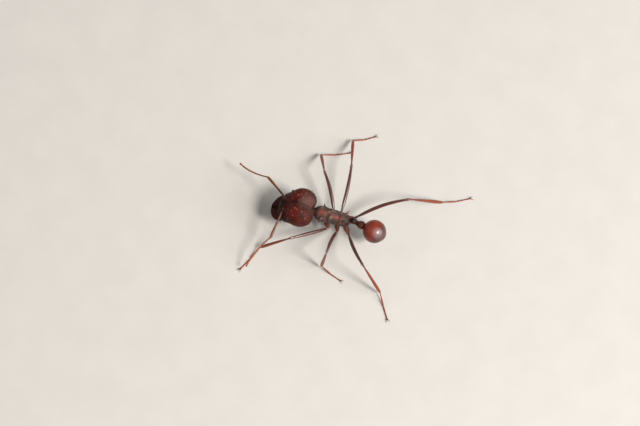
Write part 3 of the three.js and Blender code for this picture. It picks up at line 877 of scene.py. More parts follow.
@dataclass(frozen=True)
class Hair:
    """Short stiff hairs over a shell, made by a geometry tree; sizes are in millimetres."""

    length: float
    density: float
    thickness: float = 0.007
    lean: float = 0.6
    lie: Triple = (1, 0, -0.1)
    curl: float = 0.25
    gap: float = 0.05
    seed: int = 3

    SIDES = 3
    STEPS = 2
    STRAY, STRAY_SEED = 0.3, 11
    SHORTEST, LONGEST, LENGTH_SEED = 0.6, 1.25, 5
    MARGIN, PATCH = 0.01, 0.003

    @classmethod
    def tree(cls) -> bpy.types.NodeTree:
        """The tree that grows hairs on a mesh, thinned by the mesh's tone `bald`."""
        kit, given = geometry_tree("hair", {
            "Gap": ("Float", 0.0001), "Density": ("Float", 1e7), "Length": ("Float", 0.0001),
            "Thickness": ("Float", 0.00001), "Lean": ("Float", 0.5), "Lie": ("Vector", (1, 0, 0)),
            "Curl": ("Float", 0.2), "Seed": ("Int", 1), "Material": ("Material", None),
        })
        roots = kit.add("GeometryNodeDistributePointsOnFaces", {
            "Mesh": given["Geometry"], "Distance Min": given["Gap"], "Density Max": given["Density"],
            "Density Factor": kit.maths("SUBTRACT", 1.0, kit.stored("bald")), "Seed": given["Seed"],
        }, distribute_method="POISSON").outputs
        facing = kit.add("GeometryNodeStoreNamedAttribute", {
            "Geometry": roots["Points"], "Name": "facing", "Value": roots["Normal"],
        }, data_type="FLOAT_VECTOR", domain="POINT").outputs[0]
        stray = kit.add("FunctionNodeRandomValue", {
            0: (-cls.STRAY,) * 3, 1: (cls.STRAY,) * 3, 8: cls.STRAY_SEED,
        }, data_type="FLOAT_VECTOR").outputs[0]
        lie = kit.vector("ADD", given["Lie"], stray)
        way = kit.vector("ADD", roots["Normal"], kit.vector("SCALE", lie, given["Lean"]))
        stand = kit.add("FunctionNodeAlignRotationToVector", {"Vector": way}, axis="Z").outputs[0]
        roll = kit.add("FunctionNodeAlignRotationToVector", {"Rotation": stand, "Vector": lie},
                       axis="X", pivot_axis="Z").outputs[0]

        blank = kit.add("GeometryNodeMeshCone", {
            "Vertices": cls.SIDES, "Side Segments": cls.STEPS, "Radius Top": 0.0, "Radius Bottom": 1.0,
            "Depth": 1.0,
        }).outputs["Mesh"]
        position = kit.add("GeometryNodeInputPosition").outputs[0]
        height = kit.add("ShaderNodeSeparateXYZ", {0: position}).outputs[2]
        swing = kit.maths("MULTIPLY", kit.maths("MULTIPLY", height, height), given["Curl"])
        # The hair's width is scaled down afterwards, so its swing is scaled up by as much here.
        slim = kit.maths("DIVIDE", given["Length"], given["Thickness"])
        offset = kit.combined(kit.maths("MULTIPLY", swing, slim))
        bent = kit.add("GeometryNodeSetPosition", {"Geometry": blank, "Offset": offset}).outputs[0]

        vary = kit.add("FunctionNodeRandomValue", {
            2: cls.SHORTEST, 3: cls.LONGEST, 8: cls.LENGTH_SEED,
        }, data_type="FLOAT").outputs[1]
        long = kit.maths("MULTIPLY", given["Length"], vary)
        scale = kit.combined(given["Thickness"], given["Thickness"], long)
        hairs = kit.add("GeometryNodeInstanceOnPoints", {
            "Points": facing, "Instance": bent, "Rotation": roll, "Scale": scale,
        }).outputs[0]
        return end_tree(kit, hairs, given["Material"])

    def grow(self, shop: Workshop, name: str, skin: Surface, finish: Gloss) -> bpy.types.Object:
        """Grow the hairs on a skin.

        Args:
            shop: the workshop.
            name: the new piece's name.
            skin: the skin, which may have the tone `bald`, 1 where no hair grows.
            finish: the hairs' finish.

        Returns:
            The coat as a piece.
        """
        tree = bpy.data.node_groups.get("hair") or self.tree()
        bald = skin.tones.get("bald", np.zeros(len(skin.points)))
        bare = Surface(skin.points, skin.quads, skin.triangles, {"bald": bald})
        mesh = shop.grown(shop.mesh(name, bare), tree, {
            "Gap": self.gap / MM_PER_METRE, "Density": self.density * MM_PER_METRE**2,
            "Length": self.length / MM_PER_METRE, "Thickness": self.thickness / MM_PER_METRE,
            "Lean": self.lean, "Lie": self.lie, "Curl": self.curl, "Seed": self.seed,
            "Material": shop.paint(finish),
        })
        self.unwrap(mesh)
        return shop.finish(name, mesh, finish)

    def unwrap(self, mesh: bpy.types.Mesh) -> None:
        """Give each hair a small patch of the bake map, at its root's place on the skin's unwrap.

        The skin is unwrapped like a box: six charts, one for each way that it faces.
        """
        points = read(mesh.vertices, "co", 3)
        facing = read(mesh.attributes["facing"].data, "vector", 3)
        per_hair = self.SIDES * self.STEPS + 1
        hair = np.arange(len(points)) // per_hair
        roots, faces = points[::per_hair], facing[::per_hair]
        low, high = roots.min(0), roots.max(0)
        place = (roots - low) / np.maximum(high - low, 1e-9)

        every = np.arange(len(faces))
        axis = np.abs(faces).argmax(1)
        behind = faces[every, axis] < 0
        across, along = place[every, (axis + 1) % 3], place[every, (axis + 2) % 3]
        chart = np.stack([(axis + self.MARGIN + across * (1 - 2 * self.MARGIN)) / 3,
                          (behind + self.MARGIN + along * (1 - 2 * self.MARGIN)) / 2], -1)

        within = (points - roots[hair]) / (self.length / MM_PER_METRE)
        spread = chart[hair] + np.clip(within[:, :2] * 0.5, -0.5, 0.5) * self.PATCH
        corner = read(mesh.loops, "vertex_index", kind=np.int32)
        layer = mesh.uv_layers.get(BAKE_MAP) or mesh.uv_layers.new(name=BAKE_MAP)
        layer.data.foreach_set("uv", spread[corner].astype(np.float32).ravel())
        for other in [uv for uv in mesh.uv_layers if uv.name != BAKE_MAP]:
            mesh.uv_layers.remove(other)
        mesh.attributes.remove(mesh.attributes["facing"])


# --- Head ---


@dataclass
class Head:
    """The heart-shaped head capsule with its jaws, eyes and mouthparts, in the head's own frame."""

    shop: Workshop
    centre: Triple = (-4.38, -0.5, 4.0)
    turn: float = 2.0
    nod: float = 18.0
    width: float = 4.8
    lobe_radii: Triple = (1.66, 1.36, 1.58)
    lobe_back: float = 0.66
    eye_place: tuple[float, float] = (-0.72, 0.28)
    eye_radii: Triple = (0.27, 0.2, 0.25)
    eye_sunk: float = 0.03
    eye_gap: float = 0.02
    facet_fineness: int = 4
    lens_height: float = 0.09
    lens_width: float = 0.62
    socket: Triple = (-1.2, 0.62, 0.8)
    wart_places: tuple[Triple, ...] = (
        (-0.1, 0.42, 0.085), (-0.3, 0.92, 0.08), (0.12, 1.22, 0.09), (0.72, 0.3, 0.08),
        (-0.85, 0.35, 0.075), (0.85, 1.05, 0.09), (1.2, 0.62, 0.08), (0.4, 1.75, 0.085),
        (-0.45, 1.45, 0.075), (1.45, 1.25, 0.09),
    )
    step: float = 0.042

    def matrix(self) -> Array:
        """The head's turn, as a matrix: nodded and then turned to its left."""
        nod = math.radians(-self.nod)
        pitch = np.array([[math.cos(nod), 0, math.sin(nod)], [0, 1, 0], [-math.sin(nod), 0, math.cos(nod)]])
        return turned(self.turn) @ pitch

    def to_ant(self, points: Array | Sequence[float]) -> Array:
        """Points of the head's frame in the ant's frame."""
        return np.asarray(points, float) @ self.matrix().T + np.array(self.centre)

    def placed(self, surface: Surface) -> Surface:
        """A surface of the head's frame in the ant's frame."""
        return surface.placed(self.matrix(), np.array(self.centre))

    def plain(self) -> Shape:
        """The head's main form, without spines and grooves."""
        lobe_out = self.width / 2 - self.lobe_radii[1]
        lobes = paired(0.3, Ball((self.lobe_back, lobe_out, 0.02), self.lobe_radii))
        face = Ball((-0.55, 0, -0.08), (1.6, 1.94, 1.22))
        cheeks = paired(0.3, Ball((-1.15, 0.98, -0.28), (0.92, 0.8, 0.74)))
        brows = paired(0.1, Ball((-1.15, 0.42, 0.72), (0.7, 0.2, 0.3)))
        clypeus = Ball((-1.75, 0, 0.05), (0.5, 0.85, 0.42))
        saddle = Ball((0.4, 0, 0.08), (1.35, 1.25, 1.27))
        return blend(0.2, blend(0.45, lobes, face, cheeks, saddle), brows, clypeus)

    def skin_point(self, start: Triple, way: Triple, reach: float = 4.0, halvings: int = 30) -> Array:
        """Where a line from a point inside the head comes out through its surface.

        Args:
            start: the point inside.
            way: the line's direction, one millimetre long.
            reach: a distance along it that is surely outside.
            halvings: how often the range of distances is halved.

        Returns:
            The point on the surface.
        """
        near, far = 0.0, reach
        shape = self.plain()
        for _ in range(halvings):
            out = (near + far) / 2
            inside = shape(np.array([start]) + np.array([way]) * out)[0] < 0
            near, far = (out, far) if inside else (near, out)
        return np.array(start) + np.array(way) * near

    def eye_centre(self, side: Side) -> Array:
        """The middle of an eye, just under the head's surface."""
        x, z = self.eye_place
        return self.skin_point((x, 0, z), (0, side.value, 0)) - np.array([0, side.value * self.eye_sunk, 0])

    def warts(self) -> Shape:
        """The small polished warts on the crown and lobes, each sunk by a part of its size."""
        return paired(0.01, *[
            Ball(self.skin_point((x, y, 0), (0, 0, 1)) - np.array([0, 0, 0.3 * size]), (size,) * 3)
            for x, y, size in self.wart_places
        ])

    def shape(self) -> Shape:
        """The whole head capsule."""
        horns = paired(
            0.05,
            horn((1.4, 1.46, 0.47), (2.02, 1.99, 0.9), 0.21),
            horn((1.4, 1.57, -0.54), (1.99, 1.88, -0.73), 0.19),
            horn((0.45, 0.85, 1.35), (0.66, 0.93, 1.8), 0.13),
            horn((-0.35, 0.62, 0.95), (-0.2, 0.74, 1.3), 0.12),
            horn((-1.35, 1.5, 0.02), (-1.72, 1.72, 0.02), 0.14),
        )
        ridges = paired(
            0.1,
            Rod((-1.72, 0.34, 0.62), (-0.4, 0.66, 1.06), 0.09, 0.05),
            Rod((-1.5, 1.05, 0.3), (-0.95, 1.45, 0.42), 0.07, 0.05),
            Rod((-1.9, 0.95, -0.35), (-1.55, 1.5, -0.2), 0.16, 0.1),
        )
        sockets = paired(0.01, Ball(np.array(self.socket) + (-0.02, 0.05, 0.04), (0.2, 0.17, 0.2)))
        body = blend(0.1, blend(0.12, self.plain(), ridges), horns)
        body = carve(0.08, blend(0.04, body, self.warts()), sockets)
        eyes = [Ball(self.eye_centre(side), np.array(self.eye_radii) + self.eye_gap) for side in Side]
        return scored(
            body,
            Groove(lambda x, y, z: y, 0.07, 0.02, lambda x, y, z: ramp(z, 0.0, 0.4) * ramp(x, -0.7, 0.2)),
            Groove(lambda x, y, z: y, 0.04, 0.05, lambda x, y, z: ramp(-z, 0.2, 0.6) * ramp(x, -1.0, -0.4)),
            Groove(lambda x, y, z: x + 1.5 + 0.42 * y**2, 0.035, 0.045,
                   lambda x, y, z: ramp(z, -0.5, 0.0) * ramp(-np.abs(y), -1.05, -0.85)),
            Groove(lambda x, y, z: x + 1.72 - 0.3 * y**2, 0.05, 0.06, lambda x, y, z: ramp(-z, 0.2, 0.6)),
            *[Groove(around(eye), 0.03, 0.035) for eye in eyes],
        )

    def build(self) -> Surface:
        """Build and dress the head capsule, and give back its surface in the ant's frame."""
        surface = wrap(self.shape(), (-2.6, -2.6, -2.0), (2.6, 2.6, 2.0), self.step)
        p = surface.points
        x, y, z = p.T
        crown = spot(np.stack([x, np.abs(y), z], -1), (0.25, 1.05, 1.2), (1.1, 0.8, 1.6))
        # Redder on the lobes of the crown and darker towards the front.
        glow = 0.2 + 0.7 * crown - 0.16 * ramp(-x, 0.6, 1.3) + 0.12 * ramp(-z, 0.2, 1.2)
        # Painted light: the left flank is made redder and lighter, as light falls on it from that side.
        glow = glow + 0.2 * ramp(-y, 0.7, 1.7) * ramp(x, -0.7, 0.3) * (1 - 0.7 * ramp(x, 0.9, 1.7))
        # Pale hairs on the head's rear, also painting the sheen that light lays there: a band across the
        # lobes,
        # reaching forward into the valley between them and stronger towards the right lobe.
        bloom = (0.1 + 0.48 * np.exp(-(((y - 0.3) / 0.95) ** 2))) * ramp(z, -0.6, 0.4)
        bloom = bloom * ramp(x + 0.35 * np.exp(-((y / 0.5) ** 2)), 0.7, 1.4)
        height = self.plain()(p)
        tips = np.clip(height / 0.25, 0, 1)
        # Warts, spines and ridges are smoothed and painted with pale glints, less so towards the front.
        polish = np.clip(height / 0.06, 0, 1) ** 2 * (1 - 0.8 * ramp(-x, 0.3, 1.0) * (1 - tips))
        # Painted shade in the grooves, pits and the eyes' sockets.
        seam = np.clip(-height / 0.06, 0, 1) * (1 - tips)
        bald = np.clip(ramp(-x, 1.55, 1.8) + seam + tips, 0, 1)
        skin = self.placed(surface.toned(glow=glow + 0.5 * tips, seam=seam, bald=bald,
                                         bloom=bloom * (1 - seam), polish=polish))
        self.shop.shell("head_capsule", skin, HEAD_SHELL, "head")
        for side in Side:
            Mandible(self.shop, side).build(self)
            self.eye(side)
        self.mouth()
        return skin

    def eye(self, side: Side) -> None:
        """One compound eye: a geometry tree raises a lens on each six-sided facet of a ball."""
        tree = bpy.data.node_groups.get("facets") or self.facet_tree()
        mesh = self.shop.grown(bpy.data.meshes.new("seed"), tree, {
            "Radii": Vector(self.eye_radii) / MM_PER_METRE, "Fineness": self.facet_fineness,
            "Lens Height": self.lens_height, "Lens Width": self.lens_width,
            "Material": self.shop.paint(EYE_LENS),
        })
        local = read(mesh.vertices, "co", 3) * MM_PER_METRE + self.eye_centre(side)
        moved = (self.to_ant(local) + self.shop.shift) / MM_PER_METRE
        mesh.vertices.foreach_set("co", moved.astype(np.float32).ravel())
        mesh.update()
        self.shop.finish(f"{side.word}_compound_eye", mesh, EYE_LENS, f"eye_{side.word}")

    @staticmethod
    def facet_tree() -> bpy.types.NodeTree:
        """The tree that makes a faceted ball of given radii."""
        kit, given = geometry_tree("facets", {
            "Radii": ("Vector", (1, 1, 1)), "Fineness": ("Int", 4), "Lens Height": ("Float", 0.05),
            "Lens Width": ("Float", 0.7), "Material": ("Material", None),
        })
        ball = kit.add("GeometryNodeMeshIcoSphere", {"Radius": 1.0, "Subdivisions": given["Fineness"]})
        cells = kit.add("GeometryNodeDualMesh", {0: ball.outputs["Mesh"]}).outputs[0]
        raised = kit.add("GeometryNodeExtrudeMesh", {"Mesh": cells, "Offset Scale": given["Lens Height"],
                                                     "Individual": True}).outputs
        lenses = kit.add("GeometryNodeScaleElements", {
            0: raised["Mesh"], "Selection": raised["Top"], "Scale": given["Lens Width"],
        }).outputs[0]
        position = kit.add("GeometryNodeInputPosition").outputs[0]
        # The raised lenses stand out past the ball, so it is made a little smaller to stay in its radii.
        sized = kit.vector("SCALE", kit.vector("MULTIPLY", position, given["Radii"]), 0.92)
        placed = kit.add("GeometryNodeSetPosition", {"Geometry": lenses, "Position": sized}).outputs[0]
        return end_tree(kit, placed, given["Material"])

    def mouth(self) -> None:
        """The lip, the two maxillae and their feelers, folded under the jaws."""
        lip = Ball((-1.7, 0, -1.02), (0.4, 0.26, 0.2))
        maxillae = paired(0.02, Ball((-1.9, 0.27, -1.0), (0.48, 0.2, 0.19)))
        palps = paired(0.02, Rod((-2.0, 0.36, -1.1), (-2.36, 0.16, -1.08), 0.06, 0.035))
        surface = wrap(blend(0.03, lip, maxillae, palps), (-2.6, -0.7, -1.4), (-1.1, 0.7, -0.7), 0.03)
        self.shop.shell("mouth", self.placed(surface.toned(glow=0.5, seam=0.0)), JAW_SHELL, "mouthparts")


@dataclass
class Mandible:
    """One jaw: a thick three-sided blade, closed against the other, toothed on its inner edge."""

    shop: Workshop
    side: Side
    base: float = -1.7
    length: float = 1.76
    base_width: float = 1.66
    outer_gap: float = 0.1
    teeth: int = 8
    tooth_depth: float = 0.13
    height: float = -0.42
    thickness: float = 0.6
    bite_start: float = 0.3
    bite_end: float = 0.97
    inner_edge: float = -0.095
    heel: float = 0.625
    rings: int = 150
    section: int = 32

    def build(self, head: Head) -> None:
        """Build and dress the jaw, whose teeth lie half a tooth off the other's."""
        t = np.linspace(0, 1, self.rings)
        bite = np.clip((t - self.bite_start) / (self.bite_end - self.bite_start), 0, 1) * self.teeth
        if self.side is Side.LEFT:
            bite = bite + 0.5
        sawtooth = 1 - np.abs(2 * (bite % 1) - 1)
        depth = self.tooth_depth * ((t > self.bite_start) & (t < self.bite_end))
        inner = self.inner_edge + self.heel * np.clip(1 - t / self.bite_start, 0, 1) ** 1.2
        inner = inner + depth * sawtooth
        outer = self.base_width * (1 - t**2.4) ** 0.62 + self.outer_gap
        angle = np.arange(self.section) / self.section * 2 * np.pi
        middle, half = (inner + outer) / 2, (outer - inner) / 2
        y = middle[:, None] + half[:, None] * np.cos(angle)
        # The blade is thickest along its outer edge, thins towards its tip and bends down there.
        bulge = 0.72 + 0.28 * np.cos(angle)
        thick = self.thickness / 2 * (1 - 0.3 * t) * np.minimum(1, (1 - t) * 14 + 0.35)
        z = self.height - 0.22 * t[:, None] ** 2 + thick[:, None] * np.sin(angle) * bulge
        z += 0.05 * (np.cos(angle) - 1) * 0.5 * t[:, None]
        x = np.broadcast_to((self.base - self.length * t)[:, None], y.shape)
        rings = np.stack([x, self.side.value * y, z], -1)
        if self.side is Side.RIGHT:
            rings = rings[:, ::-1]
        surface = close_rings(rings, rings[0].mean(0), rings[-1].mean(0))
        toothed = np.concatenate([np.clip((inner[:, None] + 0.25 - y) / 0.25, 0, 1).ravel(), [0, 0]])
        root = np.concatenate([np.repeat(1 - ramp(t, 0, 0.3), self.section), [1, 0]])
        surface = surface.toned(glow=0.35 * root + 0.25 * (1 - toothed), seam=0.5 * toothed)
        word = self.side.word
        self.shop.shell(f"{word}_jaw", head.placed(surface), JAW_SHELL, f"mandible_{word}")


# --- Chains of bead-like segments: the feelers' outer lengths and the feet ---


@dataclass(frozen=True)
class Chain:
    """A chain of segments, each a bead that widens to its far end, made by a geometry tree."""

    sides: int = 16
    steps: int = 12
    overlap: float = 1.04

    GIRTHS = ((0.0, 0.42), (0.1, 0.6), (0.35, 0.78), (0.8, 1.0), (0.94, 0.9), (1.0, 0.5))

    @classmethod
    def tree(cls) -> bpy.types.NodeTree:
        """The tree that sets a bead on each point, along the way that the point gives."""
        kit, given = geometry_tree("chain", {
            "Sides": ("Int", 16), "Steps": ("Int", 12), "Material": ("Material", None),
        })
        tube = kit.add("GeometryNodeMeshCylinder", {
            "Vertices": given["Sides"], "Side Segments": given["Steps"], "Radius": 1.0, "Depth": 1.0,
        }, fill_type="TRIANGLE_FAN").outputs["Mesh"]
        position = kit.add("GeometryNodeInputPosition").outputs[0]
        x, y, z = kit.add("ShaderNodeSeparateXYZ", {0: position}).outputs
        along = kit.maths("ADD", z, 0.5)
        curve = kit.add("ShaderNodeFloatCurve", {"Factor": 1.0, "Value": along})
        points = curve.mapping.curves[0].points
        while len(points) < len(cls.GIRTHS):
            points.new(0.5, 0.5)
        for point, station in zip(points, cls.GIRTHS):
            point.location = station
        curve.mapping.update()
        wide, high = (kit.maths("MULTIPLY", part, curve.outputs[0]) for part in (x, y))
        bead = kit.add("GeometryNodeSetPosition", {
            "Geometry": tube, "Position": kit.combined(wide, high, along),
        }).outputs[0]
        way, radius = kit.stored("way", "FLOAT_VECTOR"), kit.stored("radius")
        turn = kit.add("FunctionNodeAlignRotationToVector", {"Vector": way}, axis="Z").outputs[0]
        beads = kit.add("GeometryNodeInstanceOnPoints", {
            "Points": given["Geometry"], "Instance": bead, "Rotation": turn,
            "Scale": kit.combined(radius, radius, kit.stored("span")),
        }).outputs[0]
        return end_tree(kit, beads, given["Material"])

    def build(self, shop: Workshop, joints: Array, radii: Array, finish: Cuticle) -> Surface:
        """Make the chain.

        Args:
            shop: the workshop.
            joints: the points that the segments run between.
            radii: the greatest radius of each segment.
            finish: the finish.

        Returns:
            The chain as a surface in the ant's frame, with the tone `along` over each segment.
        """
        tree = bpy.data.node_groups.get("chain") or self.tree()
        steps = np.diff(joints, axis=0)
        spans = np.linalg.norm(steps, axis=-1)
        ways = steps / spans[:, None]
        seed = bpy.data.meshes.new("seed")
        seed.vertices.add(len(spans))
        seed.vertices.foreach_set("co", (joints[:-1] / MM_PER_METRE).astype(np.float32).ravel())
        write_tone(seed, "radius", radii / MM_PER_METRE)
        write_tone(seed, "span", spans * self.overlap / MM_PER_METRE)
        write_tone(seed, "way", ways)
        mesh = shop.grown(seed, tree, {
            "Sides": self.sides, "Steps": self.steps, "Material": shop.paint(finish),
        })
        points = read(mesh.vertices, "co", 3) * MM_PER_METRE
        corners = read(mesh.loops, "vertex_index", kind=np.int32)
        sizes = read(mesh.polygons, "loop_total", kind=np.int32)
        starts = np.cumsum(sizes) - sizes
        quads, triangles = (corners[starts[sizes == size][:, None] + np.arange(size)] for size in (4, 3))
        bead = np.arange(len(points)) // (len(points) // len(spans))
        along = ((points - joints[bead]) * ways[bead]).sum(-1) / spans[bead]
        return Surface(points, quads, triangles, {"along": np.clip(along, 0, 1)})


# --- Feelers ---


@dataclass(frozen=True)
class FeelerPose:
    """Degrees out from straight ahead and down from level, along one feeler."""

    scape_out: float
    scape_drop: float
    start_out: float
    end_out: float
    start_drop: float
    end_drop: float


@dataclass
class Feeler:
    """One elbowed feeler: a long first length, the scape, and ten short segments."""

    shop: Workshop
    side: Side
    pose: FeelerPose
    scape_length: float = 3.9
    whip_length: float = 4.6
    segments: int = 10
    scape_radii: Stations = ((0, 0.15), (0.035, 0.16), (0.07, 0.085), (0.12, 0.1), (0.5, 0.125),
                             (0.85, 0.165), (0.96, 0.16), (1.0, 0.12))
    whip_radii: tuple[float, float] = (0.098, 0.125)
    tip_radius: float = 0.115
    scape_rings: int = 60
    scape_rise: float = 0.07

    def build(self, head: Head) -> Surface:
        """Build and dress the feeler, and give back its surface."""
        socket = head.to_ant(beside(head.socket, self.side))
        elbow = socket + heading(self.side, self.pose.scape_out, self.pose.scape_drop) * self.scape_length
        t = np.linspace(0, 1, self.scape_rings)
        bow = np.array([0, 0, self.scape_rise]) * np.sin(np.pi * t)[:, None]
        scape = sweep(socket + (elbow - socket) * t[:, None] + bow, profile(self.scape_radii, t))
        along = scape.tones["along"]
        scape = scape.toned(glow=0.05 + 0.35 * along, seam=np.exp(-(((along - 0.075) / 0.03) ** 2)))
        word = self.side.word
        self.shop.shell(f"{word}_scape", scape, FEELER_SHELL, f"scape_{word}")

        radii = np.linspace(*self.whip_radii, self.segments)
        radii[-1] = self.tip_radius
        whip = Chain().build(self.shop, self.joints(elbow), radii, FEELER_SHELL)
        rise = np.arange(len(whip.points)) / len(whip.points)
        joint = np.exp(-((whip.tones["along"] / 0.12) ** 2))
        whip = whip.toned(glow=0.35 + 0.6 * rise, seam=0.6 * joint)
        self.shop.shell(f"{word}_whip", whip, FEELER_SHELL, f"flagellum_{word}")
        return Surface.joined([scape, whip])

    def joints(self, elbow: Array) -> Array:
        """The points between the outer segments, whose lengths grow towards the tip."""
        line = [elbow]
        for t in np.linspace(0, 1, self.segments):
            out = self.pose.start_out + (self.pose.end_out - self.pose.start_out) * t
            drop = self.pose.start_drop + (self.pose.end_drop - self.pose.start_drop) * t
            line.append(line[-1] + heading(self.side, out, drop) * self.whip_length / self.segments)
        shares = 1 + 0.25 * np.linspace(-1, 1, self.segments)
        shares[-1] *= 1.5
        places = np.concatenate([[0], np.cumsum(shares / shares.sum())]) * self.segments
        even = np.arange(self.segments + 1)
        return np.stack([np.interp(places, even, np.array(line)[:, axis]) for axis in range(3)], -1)


# --- Thorax and waist ---


@dataclass
class Trunk:
    """The thorax as one skin over its three plates, and the two narrow waist segments."""

    shop: Workshop
    middle_y: float = -0.18
    petiole: Triple = (2.56, -0.12, 3.28)
    postpetiole: Triple = (3.68, -0.38, 3.3)
    step: float = 0.036
    front_suture: float = -0.5
    rear_suture: float = 0.8
    # Pale specks on the back, partly pale hairs and partly painted glints.
    dust_and_glint_places: tuple[Triple, ...] = ((-0.3, 0.1, 3.9), (0.16, 0.38, 3.8), (-0.05, -0.52, 3.75),
                                       (1.05, 0.4, 3.7), (-1.3, 0.42, 3.9))
    patch_places: tuple[tuple[Triple, Triple], ...] = (((-1.0, -0.14, 4.05), (0.42, 0.26, 0.7)),
                                                       ((0.86, -0.32, 3.9), (0.66, 0.24, 0.8)))
    dust_and_glint_size: Triple = (0.17, 0.14, 0.4)
    waist_step: float = 0.028

    def at(self, x: float, y: float, z: float) -> Triple:
        """A point given by its distance out from the thorax's middle plane."""
        return (x, self.middle_y + y, z)

    def plain(self) -> Shape:
        """The thorax's main form."""
        front = blend(0.3, Rod(self.at(-1.45, 0, 3.3), self.at(-0.95, 0, 3.27), 0.9, 0.93),
                      Rod(self.at(-1.6, 0, 3.3), (-2.65, -0.22, 3.5), 0.42, 0.34))
        middle = blend(0.3, Rod(self.at(-0.15, 0, 3.2), self.at(0.45, 0, 3.14), 0.92, 0.88),
                       Ball(self.at(-0.08, 0, 3.7), (0.6, 0.58, 0.36)))
        rear = blend(0.3, Rod(self.at(1.1, 0, 3.1), self.at(1.55, 0, 3.05), 0.84, 0.78),
                     Ball(self.at(1.18, 0, 3.42), (0.62, 0.6, 0.42)))
        return blend(0.1, front, middle, rear)

    def shape(self) -> Shape:
        """The thorax with its spines, bosses for the legs, sutures and breathing pits."""
        horns = paired(
            0.05,
            horn((-1.08, 0.6, 3.5), (-1.24, 1.12, 4.06), 0.24),
            horn((-1.55, 0.25, 3.95), (-1.62, 0.3, 4.18), 0.11),
            horn((-1.3, 0.8, 2.9), (-1.5, 1.06, 2.78), 0.14),
            horn((-0.08, 0.3, 3.75), (-0.1, 0.57, 4.37), 0.18),
            horn((0.42, 0.26, 3.82), (0.46, 0.34, 4.08), 0.1),
            horn((1.36, 0.36, 3.5), (2.0, 0.79, 4.27), 0.19),
            middle=self.middle_y,
        )
        bosses = paired(
            0.1,
            Ball((-0.72, 0.45, 2.75), (0.42, 0.36, 0.34)),
            Ball((0.66, 0.48, 2.62), (0.4, 0.36, 0.3)),
            Ball((1.66, 0.45, 2.62), (0.4, 0.34, 0.3)),
            Ball((1.82, 0.5, 2.86), (0.3, 0.24, 0.22)),
            middle=self.middle_y,
        )
        pits = paired(
            0.01,
            Ball((1.5, 0.86, 3.28), (0.07, 0.12, 0.07)),
            Ball((-0.42, 0.98, 3.3), (0.06, 0.12, 0.06)),
            middle=self.middle_y,
        )
        body = scored(
            carve(0.03, blend(0.12, blend(0.12, self.plain(), bosses), horns), pits),
            Groove(lambda x, y, z: x - self.front_suture + 0.25 * (z - 3.3), 0.04, 0.04),
            Groove(lambda x, y, z: x - self.rear_suture - 0.2 * (z - 3.3), 0.045, 0.04),
            Groove(lambda x, y, z: z - 3.02 + 0.35 * (x - 0.1), 0.035, 0.04,
                   lambda x, y, z: ramp(np.abs(y - self.middle_y), 0.4, 0.7)),
            Groove(lambda x, y, z: y - self.middle_y, 0.05, 0.025,
                   lambda x, y, z: ramp(z, 3.2, 3.6) * ramp(x, -0.4, -0.2)),
            ring(-2.1, 0.05),
        )

        def wrinkled(points: Array) -> Array:
            """The body with low waves over its whole skin."""
            x, y, z = np.moveaxis(points, -1, 0) * 2 * np.pi
            wave = np.sin(x / 0.31 + 0.8 * np.sin(y / 0.47)) * np.sin(z / 0.27 + 0.9 * np.sin(x / 0.52))
            return body(points) + 0.016 * wave * np.sin(y / 0.33 + z / 0.6)

        return wrinkled

    def build(self) -> tuple[Surface, Surface]:
        """Build and dress the thorax and waist, and give back the surfaces of both."""
        surface = wrap(self.shape(), (-3.2, -1.6, 2.0), (2.5, 1.3, 4.6), self.step)
        p = surface.points
        patches = sum(spot(p, self.at(*place), sizes) for place, sizes in self.patch_places)
        patches = np.clip(patches * ramp(p[:, 2], 3.5, 3.85), 0, 1)
        # Pale specks, partly pale hairs and partly painted glints.
        dust_and_glint_spots = sum(spot(p, self.at(*place), self.dust_and_glint_size) for place in self.dust_and_glint_places)
        height = self.plain()(p)
        tips = np.clip(height / 0.3, 0, 1)
        # Painted shade in the sutures, grooves and breathing pits.
        seam = np.clip(-height / 0.06, 0, 1)
        # Spines and bosses are smoothed and paled, painting glints on them.
        polish = 0.6 * np.clip(height / 0.45, 0, 1) ** 2
        # Pale hairs over the sides, fewer on the red patches, and the specks that paint glints.
        pale_hairs_and_glints = (0.14 * (1 - 0.6 * patches) + 0.9 * dust_and_glint_spots) * (1 - ramp(p[:, 0], 1.4, 2.0))
        # Spine tips are paled a little as well, painting glints on them.
        skin = surface.toned(glow=0.08 + 0.8 * patches + 0.6 * tips, seam=0.8 * seam * (1 - tips),
                             bald=np.clip(seam + tips, 0, 1), polish=polish, bloom=pale_hairs_and_glints + 0.1 * tips)
        self.shop.shell("thorax_skin", skin, THORAX_SHELL, "pronotum", "mesonotum", "propodeum")
        return skin, Surface.joined([self.build_petiole(), self.build_postpetiole()])

    def build_petiole(self) -> Surface:
        """The first waist segment: a stalk with a low knob and two small teeth."""
        stalk = blend(0.2, Rod(self.at(2.0, 0, 3.1), self.petiole, 0.28, 0.28),
                      Ball((2.62, -0.13, 3.4), (0.38, 0.34, 0.38)),
                      Rod(self.petiole, (3.05, -0.22, 3.24), 0.28, 0.28))
        teeth = paired(0.02, horn((2.6, 0.18, 3.66), (2.66, 0.25, 3.84), 0.09), middle=self.petiole[1])
        shape = scored(blend(0.06, stalk, teeth), ring(2.25), ring(3.0))
        return self.segment("petiole", shape, (1.7, -0.8, 2.6), (3.4, 0.5, 4.0), 0.1)

    def build_postpetiole(self) -> Surface:
        """The second waist segment: broad and rounded, narrowing to the gaster."""
        _, middle, top = self.postpetiole
        shape = blend(0.2, Rod((3.04, -0.22, 3.24), self.postpetiole, 0.26, 0.34),
                      Ball(self.postpetiole, (0.54, 0.48, 0.46)),
                      Rod(self.postpetiole, (4.3, -0.52, 3.28), 0.38, 0.36))
        crease = Groove(lambda x, y, z: y - middle, 0.12, 0.03, lambda x, y, z: ramp(z, top, top + 0.2))
        shape = scored(shape, ring(3.3), ring(4.08), crease)
        return self.segment("postpetiole", shape, (2.7, -1.1, 2.6), (4.7, 0.4, 4.0), 0.85)

